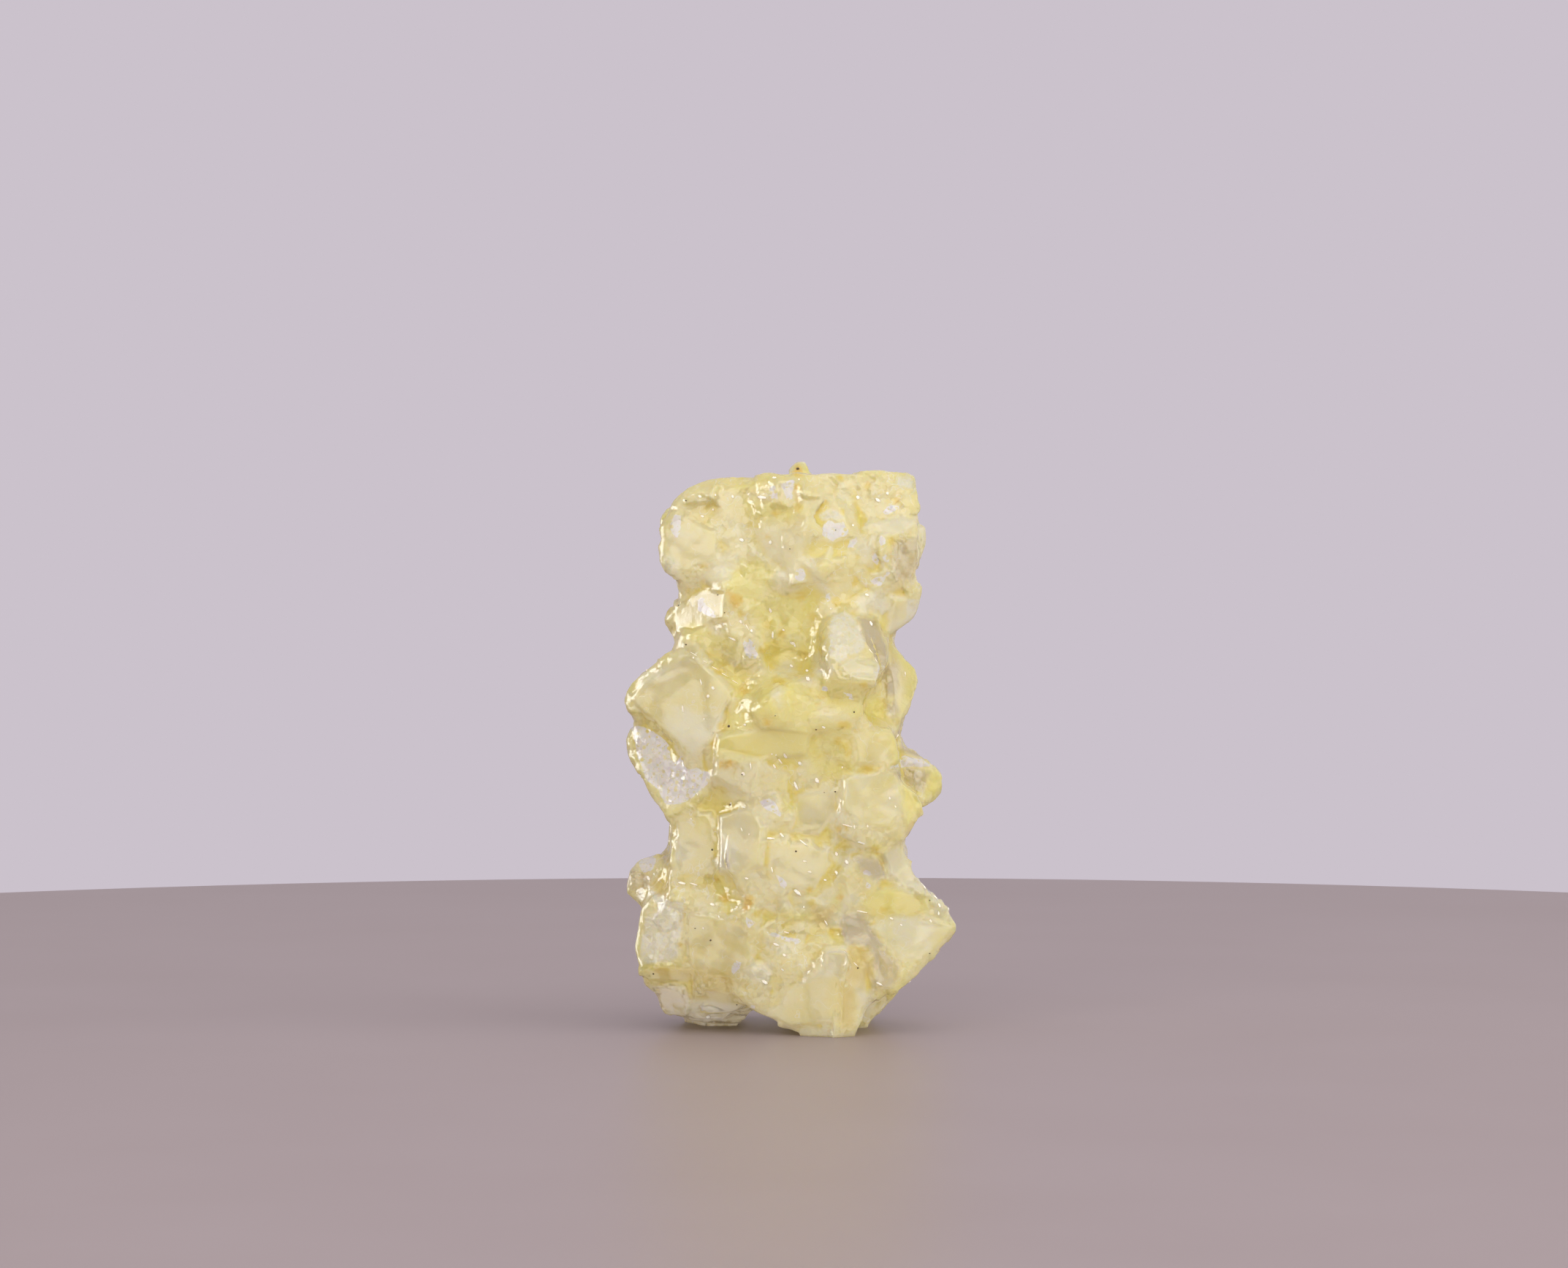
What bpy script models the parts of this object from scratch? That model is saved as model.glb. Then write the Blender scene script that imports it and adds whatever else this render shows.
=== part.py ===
"""Upright cluster of intergrown, blocky crystals: one solid that stands on flat patches under four of its crystals.

Every large crystal is a block with flat faces. It is given by its outline seen from the front (or through the
cluster, for the ones at the back), by how far out its outward face stands and how that face slopes, and by the
width of the bevel round that face. Small crystals are seated on the large ones. All of them are joined in one body.
Frame: metres, +Z up, the front looks along -Y, the origin is under the middle of the cluster.
"""

import math
import random
from typing import NamedTuple

import bmesh
import bpy
from mathutils import Matrix, Vector
from mathutils.bvhtree import BVHTree

MM = 0.001

# For each side of the cluster: the directions of the two outline coordinates, and the way outwards.
RIGHTWARDS = Vector((1, 0, 0))
BACKWARDS = Vector((0, 1, 0))
UPWARDS = Vector((0, 0, 1))
FRONT = (RIGHTWARDS, UPWARDS, -BACKWARDS)
BACK = (RIGHTWARDS, UPWARDS, BACKWARDS)
RIGHT = (BACKWARDS, UPWARDS, RIGHTWARDS)
LEFT = (BACKWARDS, UPWARDS, -RIGHTWARDS)
TOP = (RIGHTWARDS, BACKWARDS, UPWARDS)

# The hidden end of a block is smaller than its outline and lies nearer the upright axis of the cluster.
END_SHARE = 0.72
END_PULL = 0.3


class Crystal(NamedTuple):
    """One large block, in millimetres. The outline runs round its widest section."""

    name: str
    out: float  # distance of the middle of its outward face from the plane through the upright axis
    slope: tuple  # how far that face falls back for each millimetre along the two outline coordinates
    length: float  # from the outward face to the hidden end
    bevel: float
    outline: tuple  # corners: (x, z) at the front and the back, (y, z) on the sides, (x, y) on top


FRONT_CRYSTALS = (
    # crown
    Crystal("crown_left", 10.0, (-0.22, 0.1), 13, 1.6, (
        (-14.2, 54.4), (-15.9, 57.3), (-16.0, 59.2), (-15.5, 61.3), (-14.4, 63.4), (-13.2, 65.0), (-11.0, 66.4),
        (-6.9, 66.4), (-2.5, 67.5), (1.5, 67.6), (3.0, 62.0), (2.0, 54.0), (-5.9, 53.4))),
    Crystal("crown_right", 10.5, (0.2, 0.12), 13, 1.3, (
        (0.6, 67.3), (3.9, 67.5), (9.2, 67.9), (12.1, 67.3), (14.1, 67.1), (15.0, 66.6), (15.4, 65.0), (15.6, 62.0),
        (15.6, 57.5), (14.8, 55.4), (5.9, 55.0), (1.0, 57.0))),
    Crystal("crown_nub", 5.0, (0.0, 0.4), 6, 0.7, (
        (-0.8, 66.8), (-0.1, 68.4), (0.9, 69.1), (1.8, 69.1), (2.7, 68.0), (2.9, 66.5))),
    Crystal("crown_flake", 4.5, (0.7, 0.0), 10, 0.7, (
        (13.8, 61.2), (15.9, 61.9), (16.8, 61.4), (17.0, 60.2), (16.9, 58.9), (16.1, 56.8), (14.9, 54.4), (13.4, 56.5))),
    Crystal("crown_face", 11.0, (0.55, -0.15), 12, 0.8, (
        (10.5, 60.2), (12.8, 61.2), (15.4, 60.2), (15.7, 57.4), (15.0, 54.9), (12.1, 54.0), (10.4, 55.6))),
    Crystal("crown_shelf", 9.5, (0.5, -0.35), 11, 1.0, (
        (7.7, 52.0), (10.8, 54.2), (13.8, 54.8), (16.2, 54.5), (16.2, 53.7), (15.8, 51.7), (15.1, 50.1), (13.7, 48.8),
        (12.6, 48.0), (11.2, 47.9), (9.2, 49.2))),
    Crystal("crown_cube", 12.6, (0.15, -0.2), 12, 0.7, (
        (2.4, 57.3), (7.0, 57.6), (7.8, 54.6), (6.9, 52.8), (4.5, 52.7), (2.8, 54.4))),
    Crystal("crown_arch", 12.0, (-0.1, -0.3), 12, 0.9, (
        (-3.0, 54.3), (-1.8, 56.4), (0.4, 57.0), (2.5, 56.4), (2.4, 53.9), (0.0, 52.9), (-2.0, 53.0))),
    Crystal("neck_middle", 11.0, (0.05, -0.15), 18, 1.3, (
        (-8.9, 54.5), (-3.9, 55.5), (4.9, 55.0), (8.9, 52.0), (8.4, 46.0), (3.9, 42.5), (-3.0, 42.5), (-7.4, 46.5),
        (-9.3, 51.0))),
    # left side, downwards
    Crystal("neck_left", 8.0, (-0.45, -0.1), 10, 1.1, (
        (-13.0, 53.4), (-14.8, 51.4), (-15.6, 49.9), (-15.0, 48.4), (-13.7, 46.8), (-10.3, 45.6), (-7.4, 47.0),
        (-7.1, 51.5), (-8.9, 54.4))),
    Crystal("shoulder_left", 10.6, (-0.3, -0.1), 12, 0.9, (
        (-13.3, 48.2), (-13.5, 46.7), (-10.8, 44.8), (-7.4, 42.6), (-5.3, 41.4), (-3.4, 43.0), (-3.5, 47.6),
        (-5.9, 49.0), (-9.6, 49.2))),
    Crystal("big_left", 9.6, (-0.42, 0.05), 12, 1.5, (
        (-20.2, 40.1), (-19.7, 41.6), (-18.2, 43.0), (-16.6, 44.1), (-13.6, 46.8), (-12.4, 46.5), (-8.9, 43.8),
        (-6.4, 41.4), (-6.9, 39.0), (-8.9, 35.9), (-10.4, 33.7), (-11.4, 32.7), (-12.6, 33.4), (-15.0, 35.2),
        (-17.9, 37.5), (-19.7, 38.8))),
    Crystal("mirror_left", 8.2, (-0.5, 0.12), 12, 1.1, (
        (-19.0, 36.9), (-20.0, 35.3), (-19.6, 33.4), (-17.9, 30.3), (-15.9, 26.8), (-14.9, 25.6), (-11.8, 27.2),
        (-9.2, 29.2), (-9.2, 31.0), (-10.8, 32.4), (-13.3, 33.9), (-16.7, 36.5))),
    Crystal("shard_left", 3.0, (-0.5, 0.0), 10, 0.7, (
        (-14.4, 27.0), (-15.1, 25.0), (-14.9, 22.8), (-15.4, 20.6), (-15.1, 19.0), (-12.3, 19.0), (-12.3, 26.0))),
    Crystal("waist_left", 9.4, (-0.3, 0.05), 13, 1.2, (
        (-14.8, 26.4), (-12.3, 28.0), (-6.9, 28.5), (-4.9, 25.5), (-5.1, 19.0), (-8.9, 18.0), (-12.8, 18.6),
        (-14.7, 20.4))),
    Crystal("nub_left", 5.0, (-0.4, 0.25), 11, 1.3, (
        (-17.9, 21.0), (-16.1, 21.2), (-14.3, 19.5), (-14.4, 16.0), (-16.2, 14.8), (-18.7, 15.0), (-20.0, 16.6),
        (-20.0, 17.8), (-19.4, 19.6))),
    Crystal("ledge_left", 9.6, (-0.15, 0.5), 12, 0.7, (
        (-15.0, 19.3), (-9.8, 19.9), (-8.7, 17.4), (-9.3, 15.4), (-12.3, 15.0), (-15.0, 16.0))),
    Crystal("slab_left", 8.4, (-0.35, 0.05), 12, 0.9, (
        (-18.3, 14.8), (-16.9, 16.9), (-13.2, 15.5), (-12.4, 12.0), (-12.7, 8.5), (-14.3, 7.3), (-18.5, 6.6),
        (-18.8, 9.0), (-18.7, 12.5))),
    Crystal("slab_foot", 7.2, (-0.25, -0.4), 11, 0.8, (
        (-18.6, 8.2), (-18.0, 5.4), (-16.7, 4.4), (-12.0, 4.2), (-10.8, 8.0), (-13.8, 9.4))),
    Crystal("foot_left", 5.0, (-0.2, -0.35), 11, 1.3, (
        (-17.0, 5.6), (-16.4, 3.2), (-15.4, 1.7), (-13.5, 1.1), (-10.6, 0.7), (-8.4, 0.9), (-6.1, 1.7), (-4.5, 2.7),
        (-3.9, 5.0), (-7.9, 8.5), (-12.8, 8.6))),
    Crystal("heel_left", -2.6, (0.0, -0.1), 10, 0.5, (
        (-13.0, 4.0), (-11.6, -0.4), (-8.8, -0.4), (-6.9, 2.6), (-9.3, 6.0))),
    Crystal("hip_left", 10.4, (-0.2, -0.1), 15, 1.1, (
        (-12.7, 14.8), (-9.8, 16.2), (-6.1, 16.0), (-4.9, 13.0), (-5.2, 8.0), (-7.9, 5.0), (-11.2, 4.7),
        (-12.8, 8.0))),
    # middle and right side, downwards
    Crystal("pale_facet", 14.6, (0.12, 0.38), 14, 0.9, (
        (3.6, 46.4), (4.2, 50.2), (6.7, 51.3), (8.3, 50.7), (9.6, 48.2), (11.0, 44.6), (10.2, 42.4), (5.3, 42.2),
        (4.3, 44.2))),
    Crystal("pale_side", 11.5, (0.75, 0.1), 12, 0.7, (
        (7.9, 50.6), (10.7, 50.4), (12.1, 47.0), (12.0, 44.6), (11.0, 43.0), (9.4, 44.0))),
    Crystal("elbow_right", 8.2, (0.5, 0.05), 12, 1.4, (
        (9.4, 49.6), (10.8, 48.6), (11.8, 46.8), (13.8, 45.2), (15.4, 43.9), (15.9, 42.5), (15.2, 40.2), (13.8, 37.2),
        (12.4, 35.0), (8.9, 36.0), (7.9, 42.0))),
    Crystal("heart", 14.6, (0.05, 0.1), 16, 1.8, (
        (-4.3, 41.8), (-1.0, 43.4), (4.9, 43.8), (8.9, 42.2), (9.2, 38.6), (7.9, 36.4), (1.0, 36.0), (-3.5, 36.7),
        (-5.1, 39.4))),
    Crystal("heart_low", 12.8, (0.0, -0.12), 16, 1.4, (
        (-9.1, 35.6), (-5.9, 38.2), (2.0, 38.4), (7.3, 37.6), (7.9, 33.0), (6.7, 28.6), (0.0, 27.2), (-6.1, 28.2),
        (-9.6, 31.0))),
    Crystal("square_right", 11.8, (0.28, 0.05), 14, 0.9, (
        (6.9, 37.5), (12.6, 37.0), (13.2, 35.3), (13.4, 31.6), (12.7, 30.4), (7.2, 30.7))),
    Crystal("clear_right", 5.2, (0.4, 0.25), 10, 1.3, (
        (11.8, 33.8), (13.4, 34.9), (15.4, 34.2), (17.2, 32.7), (18.3, 31.0), (18.8, 30.0), (18.8, 29.0),
        (17.4, 27.4), (15.7, 26.8), (12.3, 27.5))),
    Crystal("wedge_right", 12.2, (0.3, 0.05), 14, 1.1, (
        (6.3, 31.0), (11.3, 31.5), (13.3, 30.4), (14.9, 29.2), (16.3, 27.5), (15.2, 25.3), (13.4, 23.1), (12.4, 22.0),
        (7.9, 22.3), (5.5, 25.5))),
    Crystal("middle", 12.4, (0.05, 0.0), 17, 1.5, (
        (-7.1, 27.0), (-3.0, 29.5), (4.9, 29.8), (8.5, 27.0), (8.9, 20.0), (6.9, 15.0), (0.0, 13.6), (-5.9, 16.0),
        (-7.9, 21.0))),
    Crystal("prism_right", 11.4, (0.32, 0.1), 13, 0.9, (
        (6.5, 22.6), (9.8, 23.4), (13.3, 22.9), (14.8, 20.1), (16.0, 17.7), (16.7, 16.6), (11.8, 16.0), (6.9, 15.0),
        (5.9, 19.0))),
    Crystal("middle_low", 12.0, (0.0, -0.1), 15, 1.3, (
        (-6.3, 16.2), (0.0, 17.6), (7.3, 16.6), (8.7, 12.0), (4.9, 7.4), (-3.0, 6.4), (-6.9, 9.0), (-7.9, 13.0))),
    Crystal("belly_low", 11.2, (-0.1, -0.2), 14, 1.1, (
        (-7.6, 8.8), (-3.0, 10.0), (2.0, 9.0), (2.6, 3.0), (0.6, 0.9), (-1.2, 1.0), (-2.5, 2.2), (-4.3, 3.3),
        (-7.1, 4.2))),
    Crystal("big_right", 10.6, (0.3, 0.1), 13, 1.6, (
        (8.3, 15.4), (11.8, 17.1), (17.1, 17.5), (18.8, 15.2), (20.2, 13.1), (20.1, 12.1), (18.7, 10.6), (16.7, 8.8),
        (15.2, 7.4), (13.8, 6.0), (12.6, 5.0), (11.2, 4.8), (9.3, 6.0), (7.5, 10.4))),
    Crystal("foot_front", 12.9, (-0.32, -0.18), 14, 0.8, (
        (-1.0, 1.4), (0.4, 5.6), (3.9, 10.5), (7.0, 10.6), (7.3, 8.6), (6.4, 5.0), (6.2, -0.7), (3.0, -0.6),
        (0.8, 0.4))),
    Crystal("foot_front_side", 11.8, (0.62, -0.05), 13, 0.7, (
        (5.7, 10.0), (9.8, 9.6), (10.3, 6.5), (9.4, 3.4), (7.5, -0.7), (4.9, -0.7))),
    Crystal("foot_right", 3.0, (0.3, -0.5), 10, 0.8, (
        (7.9, 4.0), (7.9, -0.6), (8.8, -0.5), (10.0, 0.8), (11.8, 2.6), (13.6, 4.2), (13.9, 6.0), (12.3, 8.0),
        (8.9, 8.0))),
)

BACK_CRYSTALS = (
    Crystal("back_crown_left", 11.0, (-0.3, 0.15), 13, 1.5, (
        (-14.0, 55.0), (-15.6, 57.4), (-15.4, 61.0), (-13.0, 64.6), (-9.0, 66.2), (-2.5, 66.6), (0.0, 61.0),
        (-2.0, 54.0), (-8.0, 52.0))),
    Crystal("back_crown_right", 12.2, (0.3, 0.1), 14, 1.4, (
        (-3.0, 66.8), (3.0, 67.4), (10.0, 67.2), (14.0, 66.0), (15.2, 62.0), (14.4, 56.0), (8.0, 53.4), (-1.0, 55.0))),
    Crystal("back_neck_left", 10.4, (-0.2, -0.2), 13, 1.2, (
        (-12.4, 53.0), (-14.2, 50.4), (-12.6, 46.6), (-6.0, 43.0), (-0.6, 46.0), (0.0, 52.0), (-6.0, 56.0))),
    Crystal("back_neck_right", 12.0, (0.25, -0.15), 14, 1.3, (
        (-2.0, 54.0), (6.0, 55.6), (13.0, 54.0), (15.0, 51.0), (11.6, 47.0), (4.0, 43.0), (-2.0, 46.0))),
    Crystal("back_big_left", 11.4, (-0.35, 0.1), 13, 1.5, (
        (-18.6, 40.0), (-16.0, 43.6), (-12.0, 45.6), (-5.0, 42.0), (-4.4, 36.0), (-9.0, 32.0), (-13.4, 33.0),
        (-18.0, 37.0))),
    Crystal("back_heart", 14.2, (0.1, 0.0), 18, 1.8, (
        (-6.6, 45.0), (0.0, 47.6), (7.0, 45.4), (9.4, 40.0), (7.0, 34.6), (0.0, 32.6), (-6.4, 35.0), (-8.0, 40.0))),
    Crystal("back_elbow_right", 10.6, (0.4, 0.1), 13, 1.3, (
        (6.0, 46.0), (11.0, 47.0), (14.6, 43.4), (14.0, 39.0), (12.0, 34.4), (6.0, 34.0), (4.0, 40.0))),
    Crystal("back_mirror_left", 10.2, (-0.4, 0.1), 13, 1.1, (
        (-18.4, 34.6), (-15.6, 36.0), (-8.2, 34.9), (-5.8, 29.0), (-10.0, 25.2), (-14.4, 26.4), (-17.4, 30.4))),
    Crystal("back_middle", 13.4, (-0.05, 0.1), 18, 1.6, (
        (-8.0, 32.0), (-1.0, 35.0), (6.4, 33.6), (9.0, 28.0), (6.0, 22.0), (-1.0, 20.0), (-7.6, 23.0), (-9.4, 28.0))),
    Crystal("back_clear_right", 9.6, (0.4, 0.15), 12, 1.2, (
        (6.0, 34.0), (13.0, 34.0), (17.0, 31.4), (17.2, 28.6), (13.4, 24.4), (7.0, 25.0), (5.0, 30.0))),
    Crystal("back_waist_left", 10.8, (-0.3, -0.05), 13, 1.2, (
        (-14.4, 25.6), (-8.0, 28.0), (-3.0, 25.0), (-3.0, 18.0), (-8.0, 15.0), (-14.0, 17.6), (-15.0, 21.0))),
    Crystal("back_slab_left", 9.4, (-0.35, 0.0), 12, 1.3, (
        (-17.6, 15.4), (-12.0, 18.0), (-6.0, 16.0), (-5.0, 9.0), (-9.0, 5.4), (-16.0, 6.0), (-18.2, 10.0))),
    Crystal("back_prism", 12.8, (0.15, 0.1), 18, 1.4, (
        (-5.0, 22.0), (1.0, 24.4), (8.0, 23.0), (11.0, 17.0), (8.0, 10.4), (0.0, 9.0), (-6.0, 13.0), (-7.0, 18.0))),
    Crystal("back_big_right", 9.8, (0.35, 0.05), 12, 1.4, (
        (6.0, 19.0), (12.0, 20.4), (17.0, 16.6), (18.4, 12.4), (14.0, 7.6), (8.0, 5.6), (4.6, 11.0))),
    Crystal("back_foot_left", 8.6, (-0.1, -0.35), 12, 1.2, (
        (-15.0, 8.4), (-15.6, 4.0), (-12.6, -0.6), (-7.6, -0.6), (-4.8, 3.6), (-4.0, 9.0), (-9.0, 11.0))),
    Crystal("back_foot_right", 12.6, (0.2, -0.2), 6, 0.9, (
        (4.6, 8.0), (5.6, -0.6), (9.8, -0.6), (11.6, 4.0), (9.6, 9.0))),
    Crystal("back_foot", 12.4, (0.1, -0.3), 15, 1.3, (
        (-3.4, 12.0), (-2.0, 5.0), (-0.2, -0.8), (6.6, -0.8), (9.4, 4.6), (9.0, 11.0), (3.0, 14.0))),
)


RIGHT_CRYSTALS = (
    Crystal("right_foot_back", 11.6, (0.15, -0.35), 12, 1.0, (
        (1.0, 4.0), (2.0, 1.0), (8.6, 1.0), (10.4, 5.0), (8.0, 9.6), (2.4, 9.0))),
    Crystal("right_big_back", 16.2, (0.2, 0.05), 13, 1.3, (
        (-2.6, 12.4), (0.0, 10.4), (6.4, 10.0), (9.6, 13.0), (7.0, 16.4), (0.6, 16.6))),
    Crystal("right_prism_low", 14.5, (-0.1, 0.1), 12, 0.9, (
        (-7.4, 17.0), (-2.0, 15.6), (2.0, 18.0), (1.4, 22.4), (-5.0, 23.4), (-8.4, 20.6))),
    Crystal("right_prism_back", 13.4, (0.15, 0.0), 12, 1.1, (
        (1.0, 17.6), (8.0, 16.2), (11.6, 20.0), (9.0, 24.4), (2.4, 24.0))),
    Crystal("right_clear_back", 15.6, (0.2, -0.05), 13, 1.2, (
        (0.6, 27.0), (6.0, 26.0), (10.4, 28.0), (9.6, 32.6), (3.6, 34.0), (-0.6, 30.6))),
    Crystal("right_elbow_back", 13.2, (0.2, 0.1), 12, 1.0, (
        (2.0, 36.0), (8.4, 34.0), (11.4, 38.0), (9.0, 42.6), (3.0, 42.4))),
    Crystal("right_elbow_middle", 14.4, (0.05, 0.05), 12, 1.0, (
        (-5.0, 40.0), (-2.0, 37.4), (3.4, 38.6), (4.6, 43.6), (0.0, 46.0), (-4.6, 44.4))),
    Crystal("right_neck", 13.9, (0.1, -0.1), 12, 1.1, (
        (-3.6, 50.0), (0.0, 47.8), (6.0, 48.4), (8.0, 52.0), (4.4, 55.0), (-2.0, 54.8))),
    Crystal("right_crown_low", 15.8, (0.1, 0.0), 13, 1.0, (
        (-1.6, 57.0), (3.0, 55.0), (8.4, 56.4), (8.8, 60.6), (3.0, 62.4), (-1.6, 61.0))),
    Crystal("right_crown_high", 15.0, (0.1, 0.15), 12, 1.0, (
        (-4.0, 62.4), (1.0, 61.0), (7.0, 61.6), (8.4, 65.0), (3.0, 67.0), (-4.0, 66.8))),
)

LEFT_CRYSTALS = (
    Crystal("left_foot_back", 15.2, (0.15, -0.3), 12, 1.2, (
        (-0.6, 4.4), (1.4, 1.4), (8.0, 1.4), (10.4, 5.4), (7.0, 9.6), (0.0, 9.0))),
    Crystal("left_slab_middle", 17.9, (0.1, 0.05), 13, 0.9, (
        (-4.6, 12.0), (-2.0, 8.0), (3.4, 8.4), (4.6, 13.4), (1.0, 16.0), (-3.4, 15.6))),
    Crystal("left_slab_back", 15.4, (0.2, 0.0), 12, 1.2, (
        (3.4, 10.6), (9.0, 9.0), (12.0, 13.0), (9.0, 17.4), (4.0, 16.6))),
    Crystal("left_waist", 14.2, (0.1, 0.05), 12, 1.1, (
        (-2.4, 20.6), (2.0, 17.6), (7.6, 18.4), (8.0, 23.6), (3.4, 25.6), (-1.6, 24.4))),
    Crystal("left_mirror_middle", 15.1, (0.1, -0.12), 12, 0.9, (
        (-4.4, 28.6), (0.0, 25.4), (5.0, 27.4), (5.0, 32.4), (0.4, 35.0), (-4.4, 33.0))),
    Crystal("left_mirror_back", 13.6, (0.2, 0.0), 12, 1.2, (
        (4.4, 28.0), (9.4, 25.6), (12.4, 30.0), (10.4, 35.4), (5.0, 35.0))),
    Crystal("left_big_middle", 17.5, (0.12, 0.0), 14, 1.3, (
        (-3.4, 38.4), (1.0, 35.4), (6.4, 37.4), (7.4, 41.6), (3.0, 44.0), (-2.4, 42.8))),
    Crystal("left_shoulder_back", 13.0, (0.15, 0.05), 12, 1.2, (
        (0.4, 46.0), (4.4, 42.4), (10.0, 44.0), (10.4, 49.0), (5.0, 51.4), (0.6, 50.0))),
    Crystal("left_neck", 13.5, (0.1, 0.0), 12, 0.9, (
        (-4.4, 52.0), (-0.6, 49.4), (4.4, 51.0), (4.6, 55.0), (0.0, 57.0), (-4.0, 55.8))),
    Crystal("left_crown", 15.2, (0.12, 0.1), 13, 1.3, (
        (-2.6, 58.0), (2.4, 55.6), (8.0, 57.4), (8.8, 62.0), (4.0, 64.6), (-1.6, 63.4))),
)

TOP_CRYSTALS = (
    Crystal("top_left", 65.2, (-0.08, 0.05), 12, 1.2, (
        (-11.0, 0.0), (-7.0, -4.6), (-1.6, -2.6), (-1.4, 3.6), (-6.0, 6.4), (-10.4, 4.6))),
    Crystal("top_middle", 66.9, (0.0, 0.12), 12, 1.1, (
        (-2.4, 0.0), (1.0, -4.0), (6.4, -2.4), (7.0, 4.0), (3.0, 7.4), (-1.8, 5.0))),
    Crystal("top_right", 66.0, (0.1, 0.05), 12, 1.1, (
        (6.0, -1.0), (9.0, -5.6), (13.6, -3.6), (14.0, 2.6), (10.0, 5.6), (6.0, 4.0))),
)


class Chip(NamedTuple):
    """One small block that is seated on a large one, seen from the front: where, how big, which way it looks."""

    at: tuple  # (x, z)
    size: tuple  # width and height
    roll: float  # degrees, + is anticlockwise
    facing: tuple  # degrees, to the right and upwards
    proud: float  # how far its outward face stands out of the surface, at its middle


CHIPS = (
    # crown
    Chip((-14.1, 61.3), (2.2, 3.6), -15, (-38, 12), 0.1),
    Chip((-14.0, 56.4), (3.4, 3.2), 20, (-32, -25), 0.1),
    Chip((-10.6, 65.2), (5.0, 3.0), 12, (-15, 40), 0.0),
    Chip((-7.9, 56.0), (4.2, 3.0), 8, (-12, -28), 0.2),
    Chip((-9.0, 61.0), (6.0, 3.0), -6, (-18, 22), 0.1),
    Chip((-3.2, 64.4), (3.6, 3.4), 25, (-8, 28), 0.3),
    Chip((-0.4, 65.2), (3.4, 3.9), -12, (14, 22), 0.3),
    Chip((1.4, 61.2), (3.2, 4.0), 14, (-18, 4), 0.5),
    Chip((0.6, 58.0), (3.8, 3.2), -10, (12, -14), 0.4),
    Chip((2.6, 64.8), (3.0, 3.2), 24, (-10, 18), 0.4),
    Chip((5.4, 61.6), (4.4, 5.2), 10, (-14, 14), 0.5),
    Chip((12.4, 63.4), (3.2, 2.4), 12, (8, 38), 0.4),
    Chip((14.3, 66.4), (2.6, 2.8), -10, (28, 28), 0.1),
    Chip((13.6, 61.2), (4.0, 3.0), 6, (24, -8), 0.2),
    Chip((11.4, 54.8), (3.2, 2.2), 12, (14, -18), 0.5),
    Chip((1.2, 55.2), (2.3, 2.5), 5, (-14, 20), 0.3),
    # neck
    Chip((-10.1, 51.4), (3.0, 3.4), 8, (-16, 26), 0.3),
    Chip((-4.8, 46.3), (2.8, 3.4), 12, (14, 20), 0.2),
    Chip((8.2, 43.3), (5.0, 2.6), -4, (5, -26), 0.0),
    # left
    Chip((-10.2, 35.6), (3.0, 3.4), 35, (16, -12), 0.0),
    Chip((-13.4, 42.0), (5.0, 4.2), -28, (-28, 16), 0.0),
    Chip((-17.5, 41.4), (3.2, 2.8), -30, (-46, 22), 0.0),
    Chip((-13.0, 21.9), (3.6, 4.4), -8, (-24, 12), 0.2),
    Chip((-8.6, 24.4), (2.4, 4.2), 5, (-22, 0), 0.3),
    Chip((-17.6, 19.7), (2.5, 2.3), -20, (-24, 28), 0.1),
    Chip((-14.0, 5.9), (4.2, 2.6), -4, (-14, -28), 0.1),
    Chip((-11.6, 3.4), (3.8, 3.2), 10, (-8, -20), 0.1),
    # middle
    Chip((-1.2, 40.6), (3.0, 4.2), 8, (-28, 6), 0.0),
    Chip((-2.2, 26.8), (4.6, 3.4), 12, (-8, 22), 0.4),
    Chip((-1.8, 22.6), (4.2, 2.8), 8, (8, -18), 0.3),
    Chip((-1.2, 18.3), (3.0, 2.7), -38, (-8, 22), 0.4),
    Chip((-1.2, 10.3), (5.2, 3.8), -25, (-8, 20), 0.4),
    Chip((2.4, 3.4), (3.6, 4.0), 8, (-28, -8), 0.1),
    # right
    Chip((10.4, 34.0), (4.4, 4.2), 4, (14, 12), 0.0),
    Chip((12.2, 38.9), (3.0, 3.2), -12, (32, -10), 0.1),
    Chip((14.2, 32.9), (5.2, 2.8), -12, (14, 48), 0.3),
    Chip((12.0, 28.4), (4.2, 4.0), -20, (20, 8), 0.1),
    Chip((14.9, 27.4), (3.0, 3.8), 30, (42, 0), 0.0),
    Chip((9.5, 18.9), (2.4, 2.4), 10, (-8, 24), 0.4),
    Chip((13.2, 20.4), (4.0, 3.6), -28, (30, 14), 0.1),
    Chip((17.6, 14.4), (3.0, 3.6), -30, (42, 24), 0.0),
    Chip((11.2, 8.2), (3.2, 4.4), 12, (-12, -26), 0.1),
    Chip((8.6, 8.1), (2.7, 2.7), 0, (24, 28), 0.3),
)

# Crystals whose face stays whole: no grains grow out of them.
WHOLE = (
    "crown_left", "crown_face", "crown_cube", "big_left", "mirror_left", "slab_left", "nub_left", "pale_facet",
    "pale_side", "elbow_right", "heart", "square_right", "clear_right", "wedge_right", "big_right", "foot_front",
    "foot_front_side", "foot_left", "shard_left", "shoulder_left", "crown_flake", "crown_nub", "waist_left",
)

GRAIN_PITCH = 4.9
GRAIN_SEED = 11
SIDE_GRAINS = 26
SIDE_GRAIN_SEED = 9


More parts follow.
